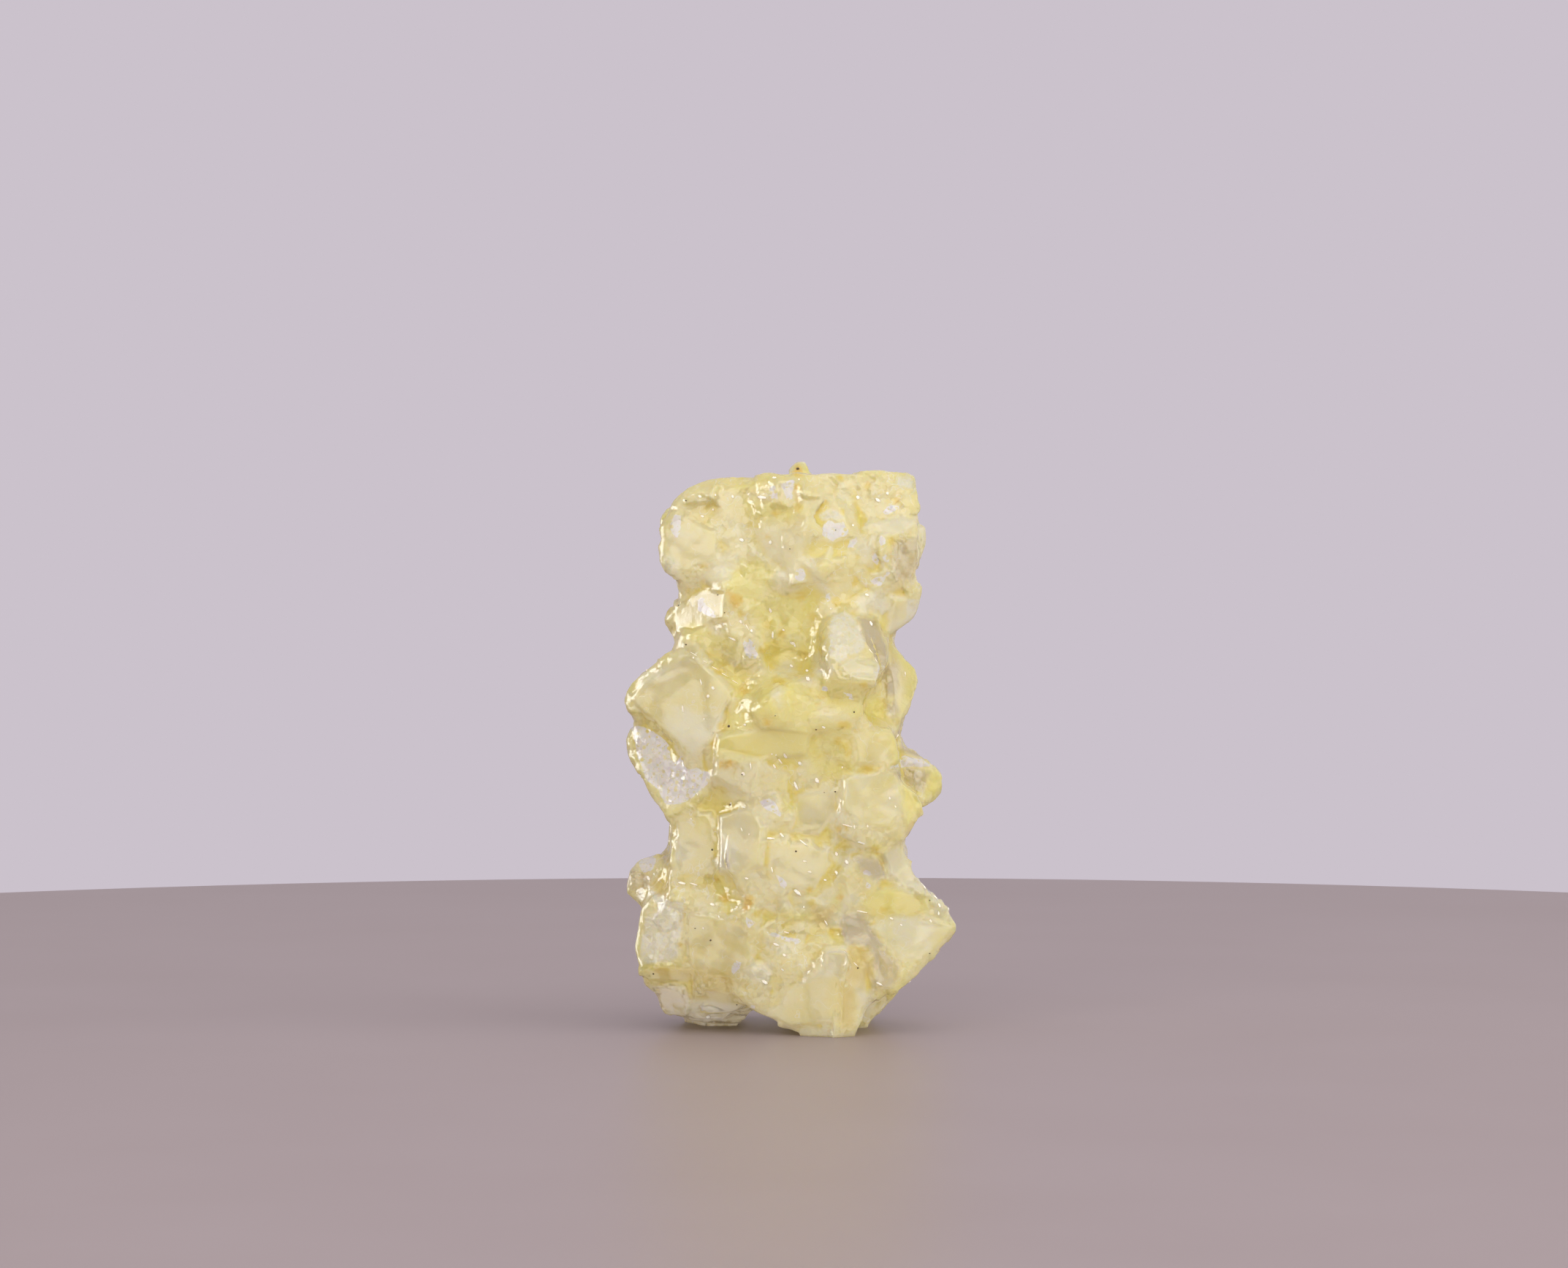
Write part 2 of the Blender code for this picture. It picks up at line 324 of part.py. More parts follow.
def outline_rings(crystal, side):
    """The block's corners: round its outward face, round its widest section, and round its hidden end."""
    across, along, outwards = side
    rng = random.Random(crystal.name)
    count = len(crystal.outline)
    mid_u = sum(u for u, _ in crystal.outline) / count
    mid_v = sum(v for _, v in crystal.outline) / count
    points = []
    for u, v in crystal.outline:
        reach = math.hypot(u - mid_u, v - mid_v)
        share = 1 - crystal.bevel * rng.uniform(0.25, 1.3) / reach
        face = (mid_u + (u - mid_u) * share, mid_v + (v - mid_v) * share, 0.0)
        widest = (u, v, crystal.bevel * rng.uniform(0.3, 1.1))
        for pu, pv, fall in (face, widest):
            sloped = crystal.slope[0] * (pu - mid_u) + crystal.slope[1] * (pv - mid_v)
            points.append((across * pu + along * pv + outwards * (crystal.out - fall - sloped)) * MM)
        end_u = mid_u * (1 - END_PULL) + (u - mid_u) * END_SHARE
        end_v = mid_v + (v - mid_v) * END_SHARE
        points.append((across * end_u + along * end_v + outwards * (crystal.out - crystal.length)) * MM)
    return points


def hull(points):
    """The smallest body with flat faces round the points."""
    bm = bmesh.new()
    for point in points:
        bm.verts.new(point)
    made = bmesh.ops.convex_hull(bm, input=bm.verts)
    loose = [item for item in made["geom_interior"] if isinstance(item, bmesh.types.BMVert)]
    bmesh.ops.delete(bm, geom=loose, context="VERTS")
    bmesh.ops.dissolve_limit(bm, angle_limit=math.radians(1.0), verts=bm.verts, edges=bm.edges)
    bmesh.ops.recalc_face_normals(bm, faces=bm.faces)
    return bm


def keep_above_floor(bm):
    """Cuts the block flat at z = 0, where it stands."""
    cut = bmesh.ops.bisect_plane(
        bm,
        geom=bm.verts[:] + bm.edges[:] + bm.faces[:],
        plane_co=(0, 0, 0),
        plane_no=(0, 0, -1),
        clear_outer=True,
    )
    rim = [item for item in cut["geom_cut"] if isinstance(item, bmesh.types.BMEdge)]
    if rim:
        bmesh.ops.contextual_create(bm, geom=rim)


def chip_block(width, height, depth, rng):
    """A small leaning block with two cut corners. Its outward face looks along -Y, with the middle at the origin."""
    lean = rng.uniform(-0.25, 0.25)
    points = []
    for sx in (-1, 1):
        for sz in (-1, 1):
            nick = rng.choice((0.0, 0.0, 0.0, 0.35))
            for fall, grow in ((0.0, 0.85), (0.2, 1.0), (1.0, 1.0)):
                z = sz * height / 2 * grow
                x = sx * width / 2 * grow + lean * z
                if nick:
                    points.append(Vector((x * (1 - nick), depth * fall, z)) * MM)
                    points.append(Vector((x, depth * fall, z * (1 - nick))) * MM)
                else:
                    points.append(Vector((x, depth * fall, z)) * MM)
    return hull(points)


def seat(bm, place, aim, roll):
    """Turns the block so that its outward face looks along aim, and puts the middle of that face at place."""
    turned = Matrix.Rotation(math.atan2(aim.x, -aim.y), 4, "Z")
    turned = turned @ Matrix.Rotation(-math.asin(max(-1.0, min(1.0, aim.z))), 4, "X")
    turned = turned @ Matrix.Rotation(-math.radians(roll), 4, "Y")
    bmesh.ops.transform(bm, matrix=Matrix.Translation(place) @ turned, verts=bm.verts)


def merged_tree(named):
    """A search tree over all the large blocks, and the name of the block that each of its faces belongs to."""
    verts = []
    faces = []
    owners = []
    for name, bm in named:
        start = len(verts)
        bm.verts.index_update()
        verts.extend(v.co.copy() for v in bm.verts)
        faces.extend([start + v.index for v in face.verts] for face in bm.faces)
        owners.extend(name for _ in bm.faces)
    return BVHTree.FromPolygons(verts, faces), owners


def front_chips(tree):
    """The small blocks of the front, each seated where a line from the front meets the large blocks."""
    blocks = []
    for number, chip in enumerate(CHIPS):
        rng = random.Random(number)
        start = Vector((chip.at[0] * MM, -0.05, chip.at[1] * MM))
        hit, normal, _, _ = tree.ray_cast(start, Vector((0, 1, 0)))
        right, up = (math.radians(angle) for angle in chip.facing)
        aim = Vector((math.sin(right) * math.cos(up), -math.cos(right) * math.cos(up), math.sin(up)))
        aim = (normal * 0.65 + aim * 0.35).normalized()
        bm = chip_block(chip.size[0], chip.size[1], 4.0, rng)
        seat(bm, hit + Vector((0, -chip.proud * MM, 0)), aim, chip.roll)
        blocks.append(bm)
    return blocks


def grain(size, rng):
    """A small block that is turned at random about its middle."""
    bm = chip_block(size, size * rng.uniform(0.75, 1.2), size * rng.uniform(0.75, 1.2), rng)
    middle = sum((v.co for v in bm.verts), Vector()) / len(bm.verts)
    axis = Vector([rng.uniform(-1, 1) for _ in range(3)]).normalized()
    turned = Matrix.Rotation(math.radians(rng.uniform(15, 60)), 4, axis) @ Matrix.Translation(-middle)
    bmesh.ops.transform(bm, matrix=turned, verts=bm.verts)
    return bm


def within_outline(bm, tree):
    """Whether the small block, seen from the front, hides behind or lies on the large ones."""
    for vert in bm.verts:
        start = Vector((vert.co.x, -0.05, vert.co.z))
        if tree.ray_cast(start, Vector((0, 1, 0)))[0] is None:
            return False
    return True


def push_out_to(bm, outwards, place, reach):
    """Moves the grain so that its outermost corner stands this far beyond the place, along outwards."""
    furthest = max(v.co.dot(outwards) for v in bm.verts)
    bmesh.ops.translate(bm, vec=place + outwards * (reach - furthest), verts=bm.verts)


def front_grains(tree, owners):
    """Grains that fill the creases between the large crystals and break up the surface of the rough ones."""
    rng = random.Random(GRAIN_SEED)
    blocks = []
    inwards = Vector((0, 1, 0))
    rows = int(64 / GRAIN_PITCH)
    columns = int(34 / GRAIN_PITCH)
    for row in range(rows):
        for column in range(columns):
            x = -16.0 + (column + 0.5 + rng.uniform(-0.4, 0.4)) * GRAIN_PITCH
            z = 3.0 + (row + 0.5 + rng.uniform(-0.4, 0.4)) * GRAIN_PITCH
            size = rng.uniform(3.4, 6.2)
            bm = grain(size, rng)
            lift = rng.uniform(0.15, 0.95)
            reach = size * 0.62
            outs = []
            names = []
            for dx, dz in ((0, 0), (reach, 0), (-reach, 0), (0, reach), (0, -reach)):
                start = Vector(((x + dx) * MM, -0.05, (z + dz) * MM))
                hit, _, face, _ = tree.ray_cast(start, inwards)
                outs.append(-60.0 if hit is None else -hit.y / MM)
                names.append("" if hit is None else owners[face])
            if min(outs) < -1.0 or (names[0] in WHOLE and names.count(names[0]) > 3):
                bm.free()
                continue
            rough = not any(name in WHOLE for name in names)
            level = sorted(outs)[2] + lift if rough else min(sorted(outs)[1] + 0.3, max(outs) - 0.3)
            push_out_to(bm, -inwards, Vector((x * MM, -level * MM, z * MM)), 0.0)
            if within_outline(bm, tree):
                blocks.append(bm)
            else:
                bm.free()
    return blocks


def side_grains(tree):
    """Grains all round the sides, the back and the top."""
    rng = random.Random(SIDE_GRAIN_SEED)
    blocks = []
    while len(blocks) < SIDE_GRAINS:
        height = rng.uniform(4.0, 66.0)
        turn = math.radians(rng.uniform(75, 285))
        outwards = Vector((math.sin(turn), -math.cos(turn), rng.uniform(-0.3, 0.4)))
        if len(blocks) % 8 == 0:
            outwards = Vector((rng.uniform(-0.25, 0.25), rng.uniform(-0.1, 0.5), 1.0))
            height = 58.0
        outwards.normalize()
        middle = Vector((rng.uniform(-6, 6), rng.uniform(0, 6), height)) * MM
        hit = tree.ray_cast(middle + outwards * 0.05, -outwards)[0]
        if hit is None:
            continue
        bm = grain(rng.uniform(3.4, 6.6), rng)
        push_out_to(bm, outwards, hit, rng.uniform(0.3, 1.1) * MM)
        if within_outline(bm, tree):
            blocks.append(bm)
        else:
            bm.free()
    return blocks


def link(name, bm, collection):
    keep_above_floor(bm)
    bmesh.ops.recalc_face_normals(bm, faces=bm.faces)
    mesh = bpy.data.meshes.new(name)
    bm.to_mesh(mesh)
    bm.free()
    obj = bpy.data.objects.new(name, mesh)
    collection.objects.link(obj)
    return obj


def union(names_and_blocks):
    """Joins all the blocks in one mesh."""
    helpers = bpy.data.collections.new("blocks")
    bpy.context.scene.collection.children.link(helpers)
    first_name, first = names_and_blocks[0]
    body = link(first_name, first, bpy.context.scene.collection)
    for name, bm in names_and_blocks[1:]:
        link(name, bm, helpers)
    joined = body.modifiers.new("joined", "BOOLEAN")
    joined.operation = "UNION"
    joined.solver = "EXACT"
    joined.operand_type = "COLLECTION"
    joined.collection = helpers
    graph = bpy.context.evaluated_depsgraph_get()
    mesh = bpy.data.meshes.new_from_object(body.evaluated_get(graph))
    for item in list(bpy.data.objects):
        bpy.data.objects.remove(item)
    bpy.data.collections.remove(helpers)
    return mesh


def connected(start):
    """All the vertices that this one is joined to."""
    found = {start}
    waiting = [start]
    while waiting:
        vert = waiting.pop()
        for edge in vert.link_edges:
            other = edge.other_vert(vert)
            if other not in found:
                found.add(other)
                waiting.append(other)
    return found


def fill_closed_gaps(mesh):
    """Keeps only the outer skin, so that the gaps closed in between the blocks are filled."""
    bm = bmesh.new()
    bm.from_mesh(mesh)
    outer = connected(max(bm.verts, key=lambda vert: vert.co.z))
    inner = [vert for vert in bm.verts if vert not in outer]
    bmesh.ops.delete(bm, geom=inner, context="VERTS")
    bm.to_mesh(mesh)
    bm.free()


def centre_over_origin(mesh):
    """Moves the body along the floor so that the origin is under the middle of its width and depth."""
    for axis in (0, 1):
        values = [vert.co[axis] for vert in mesh.vertices]
        middle = (min(values) + max(values)) / 2
        for vert in mesh.vertices:
            vert.co[axis] -= middle


def crystal_material():
    material = bpy.data.materials.new("pale_yellow_crystal")
    material.use_nodes = True
    shader = material.node_tree.nodes["Principled BSDF"]
    shader.inputs["Base Color"].default_value = (0.78, 0.68, 0.36, 1.0)
    shader.inputs["Roughness"].default_value = 0.3
    shader.inputs["IOR"].default_value = 1.54
    return material


def main():
    for item in list(bpy.data.objects):
        bpy.data.objects.remove(item)
    tables = (
        (FRONT_CRYSTALS, FRONT),
        (BACK_CRYSTALS, BACK),
        (RIGHT_CRYSTALS, RIGHT),
        (LEFT_CRYSTALS, LEFT),
        (TOP_CRYSTALS, TOP),
    )
    large = [(c.name, hull(outline_rings(c, side))) for crystals, side in tables for c in crystals]
    tree, owners = merged_tree(large)
    small = front_chips(tree) + front_grains(tree, owners) + side_grains(tree)
    named = large + [(f"small_{number:03d}", bm) for number, bm in enumerate(small)]
    mesh = union(named)
    fill_closed_gaps(mesh)
    centre_over_origin(mesh)
    mesh.materials.clear()
    mesh.materials.append(crystal_material())
    body = bpy.data.objects.new("crystal_cluster", mesh)
    bpy.context.scene.collection.objects.link(body)


main()
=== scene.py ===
"""Upright cluster of intergrown, blocky, pale yellow crystals on a plain table: fine surface, crystal material,
studio light and camera. Lengths in the tables are millimetres; the meshes are in metres."""

import itertools
import math
import random

import bmesh
import bpy
import numpy as np
from mathutils import Matrix, Vector, noise
from mathutils.bvhtree import BVHTree
from mathutils.kdtree import KDTree


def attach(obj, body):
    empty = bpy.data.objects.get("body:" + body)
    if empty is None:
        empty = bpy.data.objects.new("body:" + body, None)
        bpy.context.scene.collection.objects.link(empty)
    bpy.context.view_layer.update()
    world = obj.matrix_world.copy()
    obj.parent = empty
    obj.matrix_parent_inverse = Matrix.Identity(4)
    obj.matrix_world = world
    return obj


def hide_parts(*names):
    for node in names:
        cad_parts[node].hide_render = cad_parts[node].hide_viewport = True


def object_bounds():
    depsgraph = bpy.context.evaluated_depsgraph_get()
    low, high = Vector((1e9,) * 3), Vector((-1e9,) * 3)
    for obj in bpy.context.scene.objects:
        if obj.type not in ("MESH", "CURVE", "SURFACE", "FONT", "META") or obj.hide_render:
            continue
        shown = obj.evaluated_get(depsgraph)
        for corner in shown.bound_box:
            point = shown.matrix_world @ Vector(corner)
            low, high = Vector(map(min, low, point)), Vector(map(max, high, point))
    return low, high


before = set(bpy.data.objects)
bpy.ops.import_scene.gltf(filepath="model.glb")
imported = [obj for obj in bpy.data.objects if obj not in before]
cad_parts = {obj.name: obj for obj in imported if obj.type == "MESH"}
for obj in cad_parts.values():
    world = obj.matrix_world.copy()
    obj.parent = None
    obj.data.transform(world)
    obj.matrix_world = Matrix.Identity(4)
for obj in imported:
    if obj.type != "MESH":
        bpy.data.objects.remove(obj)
cad_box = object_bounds()
low_corner, high_corner = (np.array(corner) for corner in cad_box)

MM = 0.001

# Camera: how far in front of the cluster's middle, how high, how far to the left, and its downward tilt in degrees.
CAMERA_BACK = 532.4
CAMERA_UP = 55.07
CAMERA_LEFT = 0.72
CAMERA_DOWN = 0.75
CAMERA_LENS = 100.0
EYE = Vector((-CAMERA_LEFT, -CAMERA_BACK, CAMERA_UP)) * MM


def outlines(*rows):
    """Outlines on the front, each given as x, z, x, z and so on, seen against the plane through the upright axis."""
    return tuple(tuple(zip(row[::2], row[1::2])) for row in rows)


# Facets painted bright white: a painted reflection of the light glinting on them.
PAINTED_GLINT_FACETS = outlines(
    (-14.3, 60.1, -13.8, 59.8, -13.5, 61.2, -13.3, 62.5, -13.9, 62.7, -14.4, 62, -14.7, 61.3),
    (-2.6, 65.2, -2.2, 64.6, -1.4, 64.4, -1.4, 65.2, -1.7, 66.1, -2.3, 66.2),
    (-0.5, 64.5, 0.5, 64.6, 0.2, 65.5, 0.9, 66.6, 0.2, 66.9, -0.6, 66.5, -1.3, 66.3, -0.8, 65.6),
    (4, 60.3, 4.2, 61.6, 4.8, 62.1, 5.6, 61.7, 6.6, 61.9, 6.8, 61.2, 7.2, 60.8, 6.9, 60, 6, 59.9, 5.2, 59.3, 4.6, 59.9),
    (11.4, 63, 12, 63.8, 13, 63.9, 13.9, 63.8, 12.9, 63.2, 11.9, 62.7),
    (7, 58.6, 7.6, 58.5, 8.4, 59.6, 8.2, 59.9, 7.5, 59.4), (10.7, 59.4, 11, 60.3, 11.6, 60, 11.9, 59.3, 11.2, 58.8),
    (10, 57.2, 10.4, 58, 10.8, 57.4, 10.7, 56.4, 10.4, 56.6),
    (11.3, 57.6, 11.8, 58, 12.3, 57.2, 12.1, 56.7, 11.5, 56.9),
    (9.7, 54.6, 10.5, 54.9, 11.4, 55, 11.8, 55.7, 12.4, 55.7, 11.9, 54.9, 11.2, 54, 10.4, 54),
    (4.2, 52.8, 5, 53.2, 5, 52.2, 4.5, 52), (0.6, 55.6, 0.9, 56.1, 1.7, 56.2, 2, 55.2, 1.7, 54.4, 1.1, 54.5, 0.6, 55),
    (-11.2, 52, -10.6, 52.6, -10.1, 52.4, -10.1, 51.2, -9.1, 50.7, -9.1, 50.1, -9.9, 50.3, -11.2, 50.9),
    (-5.8, 47.3, -5.2, 47.6, -4.7, 47.4, -4.2, 46.6, -3.8, 45.6, -4.1, 45.1, -4.6, 44.9, -5.1, 45.2, -5.6, 45.9,
     -5.7, 46.7),
    (-19.2, 36.6, -18.7, 36.9, -17.9, 36.5, -16.6, 35.8, -15.4, 34.9, -14.9, 34.2, -14.7, 33.2, -14.5, 32.4, -14, 32.2,
     -13.6, 33.1, -13.3, 33.2, -13, 32, -12.3, 31.5, -11.4, 31.7, -10.8, 31.3, -10.2, 31.2, -9.9, 30.6, -10.3, 29.4,
     -11.2, 28.8, -12.2, 27.8, -13.8, 27.2, -15, 27.1, -15.7, 27.6, -16.1, 29, -17.6, 30.4, -18.3, 32.6, -18.7, 33.2,
     -19, 34.5), (-18.6, 20.2, -17.4, 20.9, -16.5, 20.9, -16.6, 20.2, -16.9, 19.3, -17.5, 19.1, -18, 18.8, -18.4, 19.6),
    (-4, 27.6, -2.5, 27.9, -1.6, 27.2, -1.1, 26.2, -0.6, 25.6, -1.3, 25.7, -2.3, 26.4, -3.3, 27),
    (-1.8, 18.6, -1.4, 18.6, -0.6, 17.8, -0.2, 17.4, -0.6, 16.9, -1.1, 17.3, -1.4, 17.9),
    (-5.5, 13.5, -5, 13.4, -4.8, 13, -4, 12.9, -4.4, 12.4, -5.1, 12.1, -5.3, 12.8),
    (-7.3, 7.4, -6.6, 8.1, -6, 7.9, -6.2, 7.2, -6.8, 6.3, -7.3, 6.6),
    (-3.1, 11.8, -2.5, 11.7, -1.2, 11.2, 0, 10.9, 1.6, 10.6, 0.9, 10.2, -0.6, 10.5, -1.4, 10.9, -2.4, 11.2),
    (8.8, 18.8, 9.1, 19.3, 9.7, 19.2, 10.1, 18.6, 9.8, 18.4, 9.2, 18.6),
    (9.2, 17.6, 9.5, 17.8, 10, 17.3, 9.9, 16.8, 9.5, 16.7), (3.6, 41.6, 4.3, 41.6, 4.7, 41.3, 4.3, 40.9, 4, 41),
    (6.4, 41, 7, 41, 7.6, 40.7, 7.8, 39.9, 7.4, 40.1, 7, 40.4),
    (13.9, 33.2, 14.2, 33.4, 15.2, 33.1, 16.4, 32.9, 17.6, 32.1, 16, 31.9, 14.4, 31.9, 13, 31.7, 12.2, 31.6, 12.6, 32.1,
     13.6, 32.4), (-5.1, 2.3, -4.6, 2.7, -4.1, 2.4, -4.4, 2.1),
    (-15.2, 22.7, -14.9, 22.6, -14.8, 21.7, -15.1, 21.4, -15.4, 22),
)
# Whitish, softly pitted faces.
FROSTED_FACES = outlines(
    (-17.3, 16.3, -16.8, 17, -15.9, 16.1, -14.5, 15.2, -13.2, 15.3, -13.1, 14, -13.2, 12.6, -13.3, 11.4, -13.6, 10.4,
     -13.8, 9.2, -14, 8.5, -14.6, 8, -16, 7.9, -17.4, 7.7, -18.2, 7.8, -18.4, 8.8, -18.3, 10.4, -17.9, 12, -17.7, 13.4,
     -16.6, 13.8, -16.2, 14.4, -16.5, 15.4),
    (4.7, 48, 4.9, 46.8, 4.6, 46, 5.1, 45.3, 5.8, 44.6, 6.4, 44.7, 6.8, 45, 7.4, 45.4, 8.6, 45.9, 9.1, 46.4, 9.2, 47.2,
     8.6, 48.8, 7.9, 50.2, 7.2, 50.7, 6.6, 51, 5.9, 50.9, 5.2, 50.4, 4.8, 49.2),
    (3.6, 62.6, 4.6, 63.4, 6, 63.1, 6.6, 62.2, 5, 62.2, 4, 61.9),
    (12.8, 66.6, 13.2, 67.5, 14.6, 67.6, 15.3, 66.6, 15, 66, 13.5, 66.2),
    (13.9, 49.6, 12.8, 50.2, 14.2, 51.2, 14.4, 52.2, 16, 52.3, 16, 51, 15.3, 49.9, 14.5, 49.5),
)
# Milky, paler faces.
PALE_FACES = outlines(
    (-9.5, 61.5, -5, 61.3, -5.2, 60.6, -9.2, 60.7), (2.6, 66.9, 4, 67.8, 5.8, 67.9, 4, 67.1, 3, 66.5),
    (9.6, 67.1, 10, 67.1, 10.5, 65.6, 10.1, 65.3, 9.7, 66.3),
    (10, 61.6, 12.3, 62.4, 15.2, 62.6, 15.6, 61.6, 14.5, 60.6, 13, 60.2, 11, 60.5),
    (6, 66, 6.8, 66.2, 7.4, 65.4, 6.6, 64.8, 6, 65.2), (7.8, 59.5, 10.2, 60, 10.4, 58.2, 9, 57, 8, 58),
    (15.5, 60.2, 16.4, 61.6, 17, 60.8, 17, 59.2, 16, 59.1),
    (14.8, 54.4, 15.1, 54.5, 16.2, 56.4, 16.3, 57.2, 15.8, 56.7),
    (-2.4, 54.6, -1.4, 55.6, 0, 56.1, 0.2, 55.6, -1, 54.9, -2, 54.2),
    (2.3, 57.4, 2.8, 57.1, 3.4, 55.3, 4.9, 53.6, 4.4, 53.1, 2.8, 54.7),
    (-15.3, 57.4, -14.2, 58, -13.6, 56.6, -13.6, 54.8, -15, 55), (-9.4, 56.3, -7, 56.3, -7.3, 54.8, -9, 54.8),
    (0.6, 59.2, 1, 60, 1.6, 59.8, 1.4, 59), (2.5, 45.7, 4, 45.6, 5.4, 44.4, 5, 43.2, 3, 43.4),
    (6.2, 44.3, 7, 45, 10.8, 44.8, 11.8, 43.9, 10.9, 42.6, 8, 42.8, 6.6, 43.4),
    (12, 49.6, 14.2, 49.5, 13.8, 48.1, 12.2, 48), (8, 52.3, 10, 53.2, 11.6, 53, 12, 51, 11.4, 50.2, 8.6, 50.5),
    (-15.8, 37.9, -12, 38.4, -8, 38, -8.4, 36.6, -10.4, 34.4, -12.3, 33.2, -13.6, 34.6),
    (-18.4, 43, -15.8, 44.2, -14, 43.6, -15.6, 42.6, -18.6, 41.6),
    (-9.7, 49.5, -9.2, 49.3, -8.6, 48.4, -8.5, 47.9, -9.1, 48.1, -9.7, 48.8),
    (-13.8, 22.6, -12.7, 22.9, -12.3, 21.2, -12.9, 20.1, -13.9, 20.3),
    (-8.9, 25.6, -8.2, 25.5, -7.9, 24.3, -8.2, 22.8, -9, 23.1), (-9, 23, -6.6, 23, -6.4, 19.6, -8.8, 19.2),
    (-3, 10.8, -1.4, 10.4, 1, 10.2, 0.8, 9, -0.6, 8.4, -2, 9, -3.2, 10),
    (12.3, 29.9, 13.4, 29.8, 13.5, 27.6, 12.6, 27.3, 11.9, 27.9, 12.2, 28.6),
    (7.6, 30.6, 12, 30.8, 12, 28, 9, 27.2, 7.2, 28.4), (5, 26.4, 6.4, 26.4, 6.8, 25.4, 5.2, 25.2),
    (11.2, 20.9, 12, 22, 13.6, 22.4, 14.9, 20.3, 16, 18.3, 16.8, 16.8, 15.8, 16.2, 13.2, 17.3, 12, 18.4),
    (6.5, 16.2, 8.4, 16.1, 8.4, 15.4, 7.2, 14.9, 6.4, 15), (4.5, 21.6, 6.2, 21.4, 7.3, 20, 6.8, 19.6, 5.6, 20.2),
    (10.2, 12.2, 13, 13.6, 17, 13.4, 19.6, 12.2, 18, 10.6, 16, 8.5, 14, 7.9, 12.2, 9.8),
    (16.8, 17.3, 18.2, 16, 20, 13.4, 18.6, 13, 17.6, 14, 17, 15.8),
    (4.1, 10.3, 7, 10.2, 6.8, 8, 6.2, 6.4, 4, 6.2, 2.2, 5.6, 1.2, 5, 0.8, 5.6, 3.6, 7, 3.9, 9),
    (-14.6, 3, -12, 2.8, -8.4, 2.6, -5.2, 2.2, -7.2, 1, -10, 0.4, -13, 0.9, -14.8, 1.3),
    (8.2, 0.4, 9.3, 2.4, 9.8, 2.2, 9.2, 1), (8, 4.2, 10.2, 4.4, 10.4, 2.6, 9.4, 2, 8.2, 2.4),
    (-6.4, 6.6, -4.4, 8, -2.2, 7.6, -2.6, 5.4, -5.4, 5.2), (-1.6, 21.8, 1.8, 21.4, 2, 18.6, -1, 19),
    (-2.2, 28.6, -1.6, 28.4, -1.4, 27.6, -1.9, 27.6), (-0.6, 45.2, 0.6, 45, 0.2, 43.4, -1.6, 43.4, -1.8, 44.4),
    (-2, 42, -0.8, 42, -0.4, 39.4, -1.6, 39, -2.2, 40.4),
)
# Faces that show what is behind them.
CLEAR_FACES = outlines(
    (-17, 41.8, -13.8, 43, -10.8, 42, -11.2, 38.6, -14, 38.4, -17, 39),
    (11.9, 44.4, 13.3, 44.5, 13.6, 43, 13.1, 40.5, 12, 40.6, 11.3, 42.4),
    (11.9, 39.6, 13.2, 39.8, 13.2, 38.4, 12, 38.3),
    (12, 31.4, 15.6, 31.6, 17.2, 31.2, 16.8, 29.2, 15.6, 28.8, 13.8, 30.2),
    (13.9, 34.7, 15.6, 34.2, 17.5, 33.2, 17.4, 32.8, 15.2, 33.4, 13.9, 33.8),
    (6.3, 13.6, 8.4, 14, 10.2, 11.8, 12.6, 8.4, 13.4, 7.4, 13.2, 6, 12.4, 4.8, 10.3, 4.5, 10.2, 5.4, 10.5, 6.4,
     10.2, 8.6, 10, 9.7, 8, 10.2, 6.6, 10.4, 6.1, 11.4),
    (12.8, 59.6, 15.8, 59.8, 16.2, 57.8, 14.8, 54.8, 13, 54.8, 12.4, 57),
    (-15.5, 24.8, -14.9, 24.4, -14.9, 20, -15.8, 20.4), (-20, 18.8, -18.8, 19.6, -17.4, 18, -18.2, 15.8, -19.6, 16.6),
    (-17, 4.8, -13, 5, -12.2, 3.2, -14, 2.2, -15.8, 2.2), (8, 20.6, 11, 20.6, 11.8, 18.6, 10.4, 18, 8.4, 19.4),
    (10.8, 50, 11.8, 46.8, 11.8, 44.2, 10.8, 44.8, 9.4, 47, 8.4, 50.2),
)
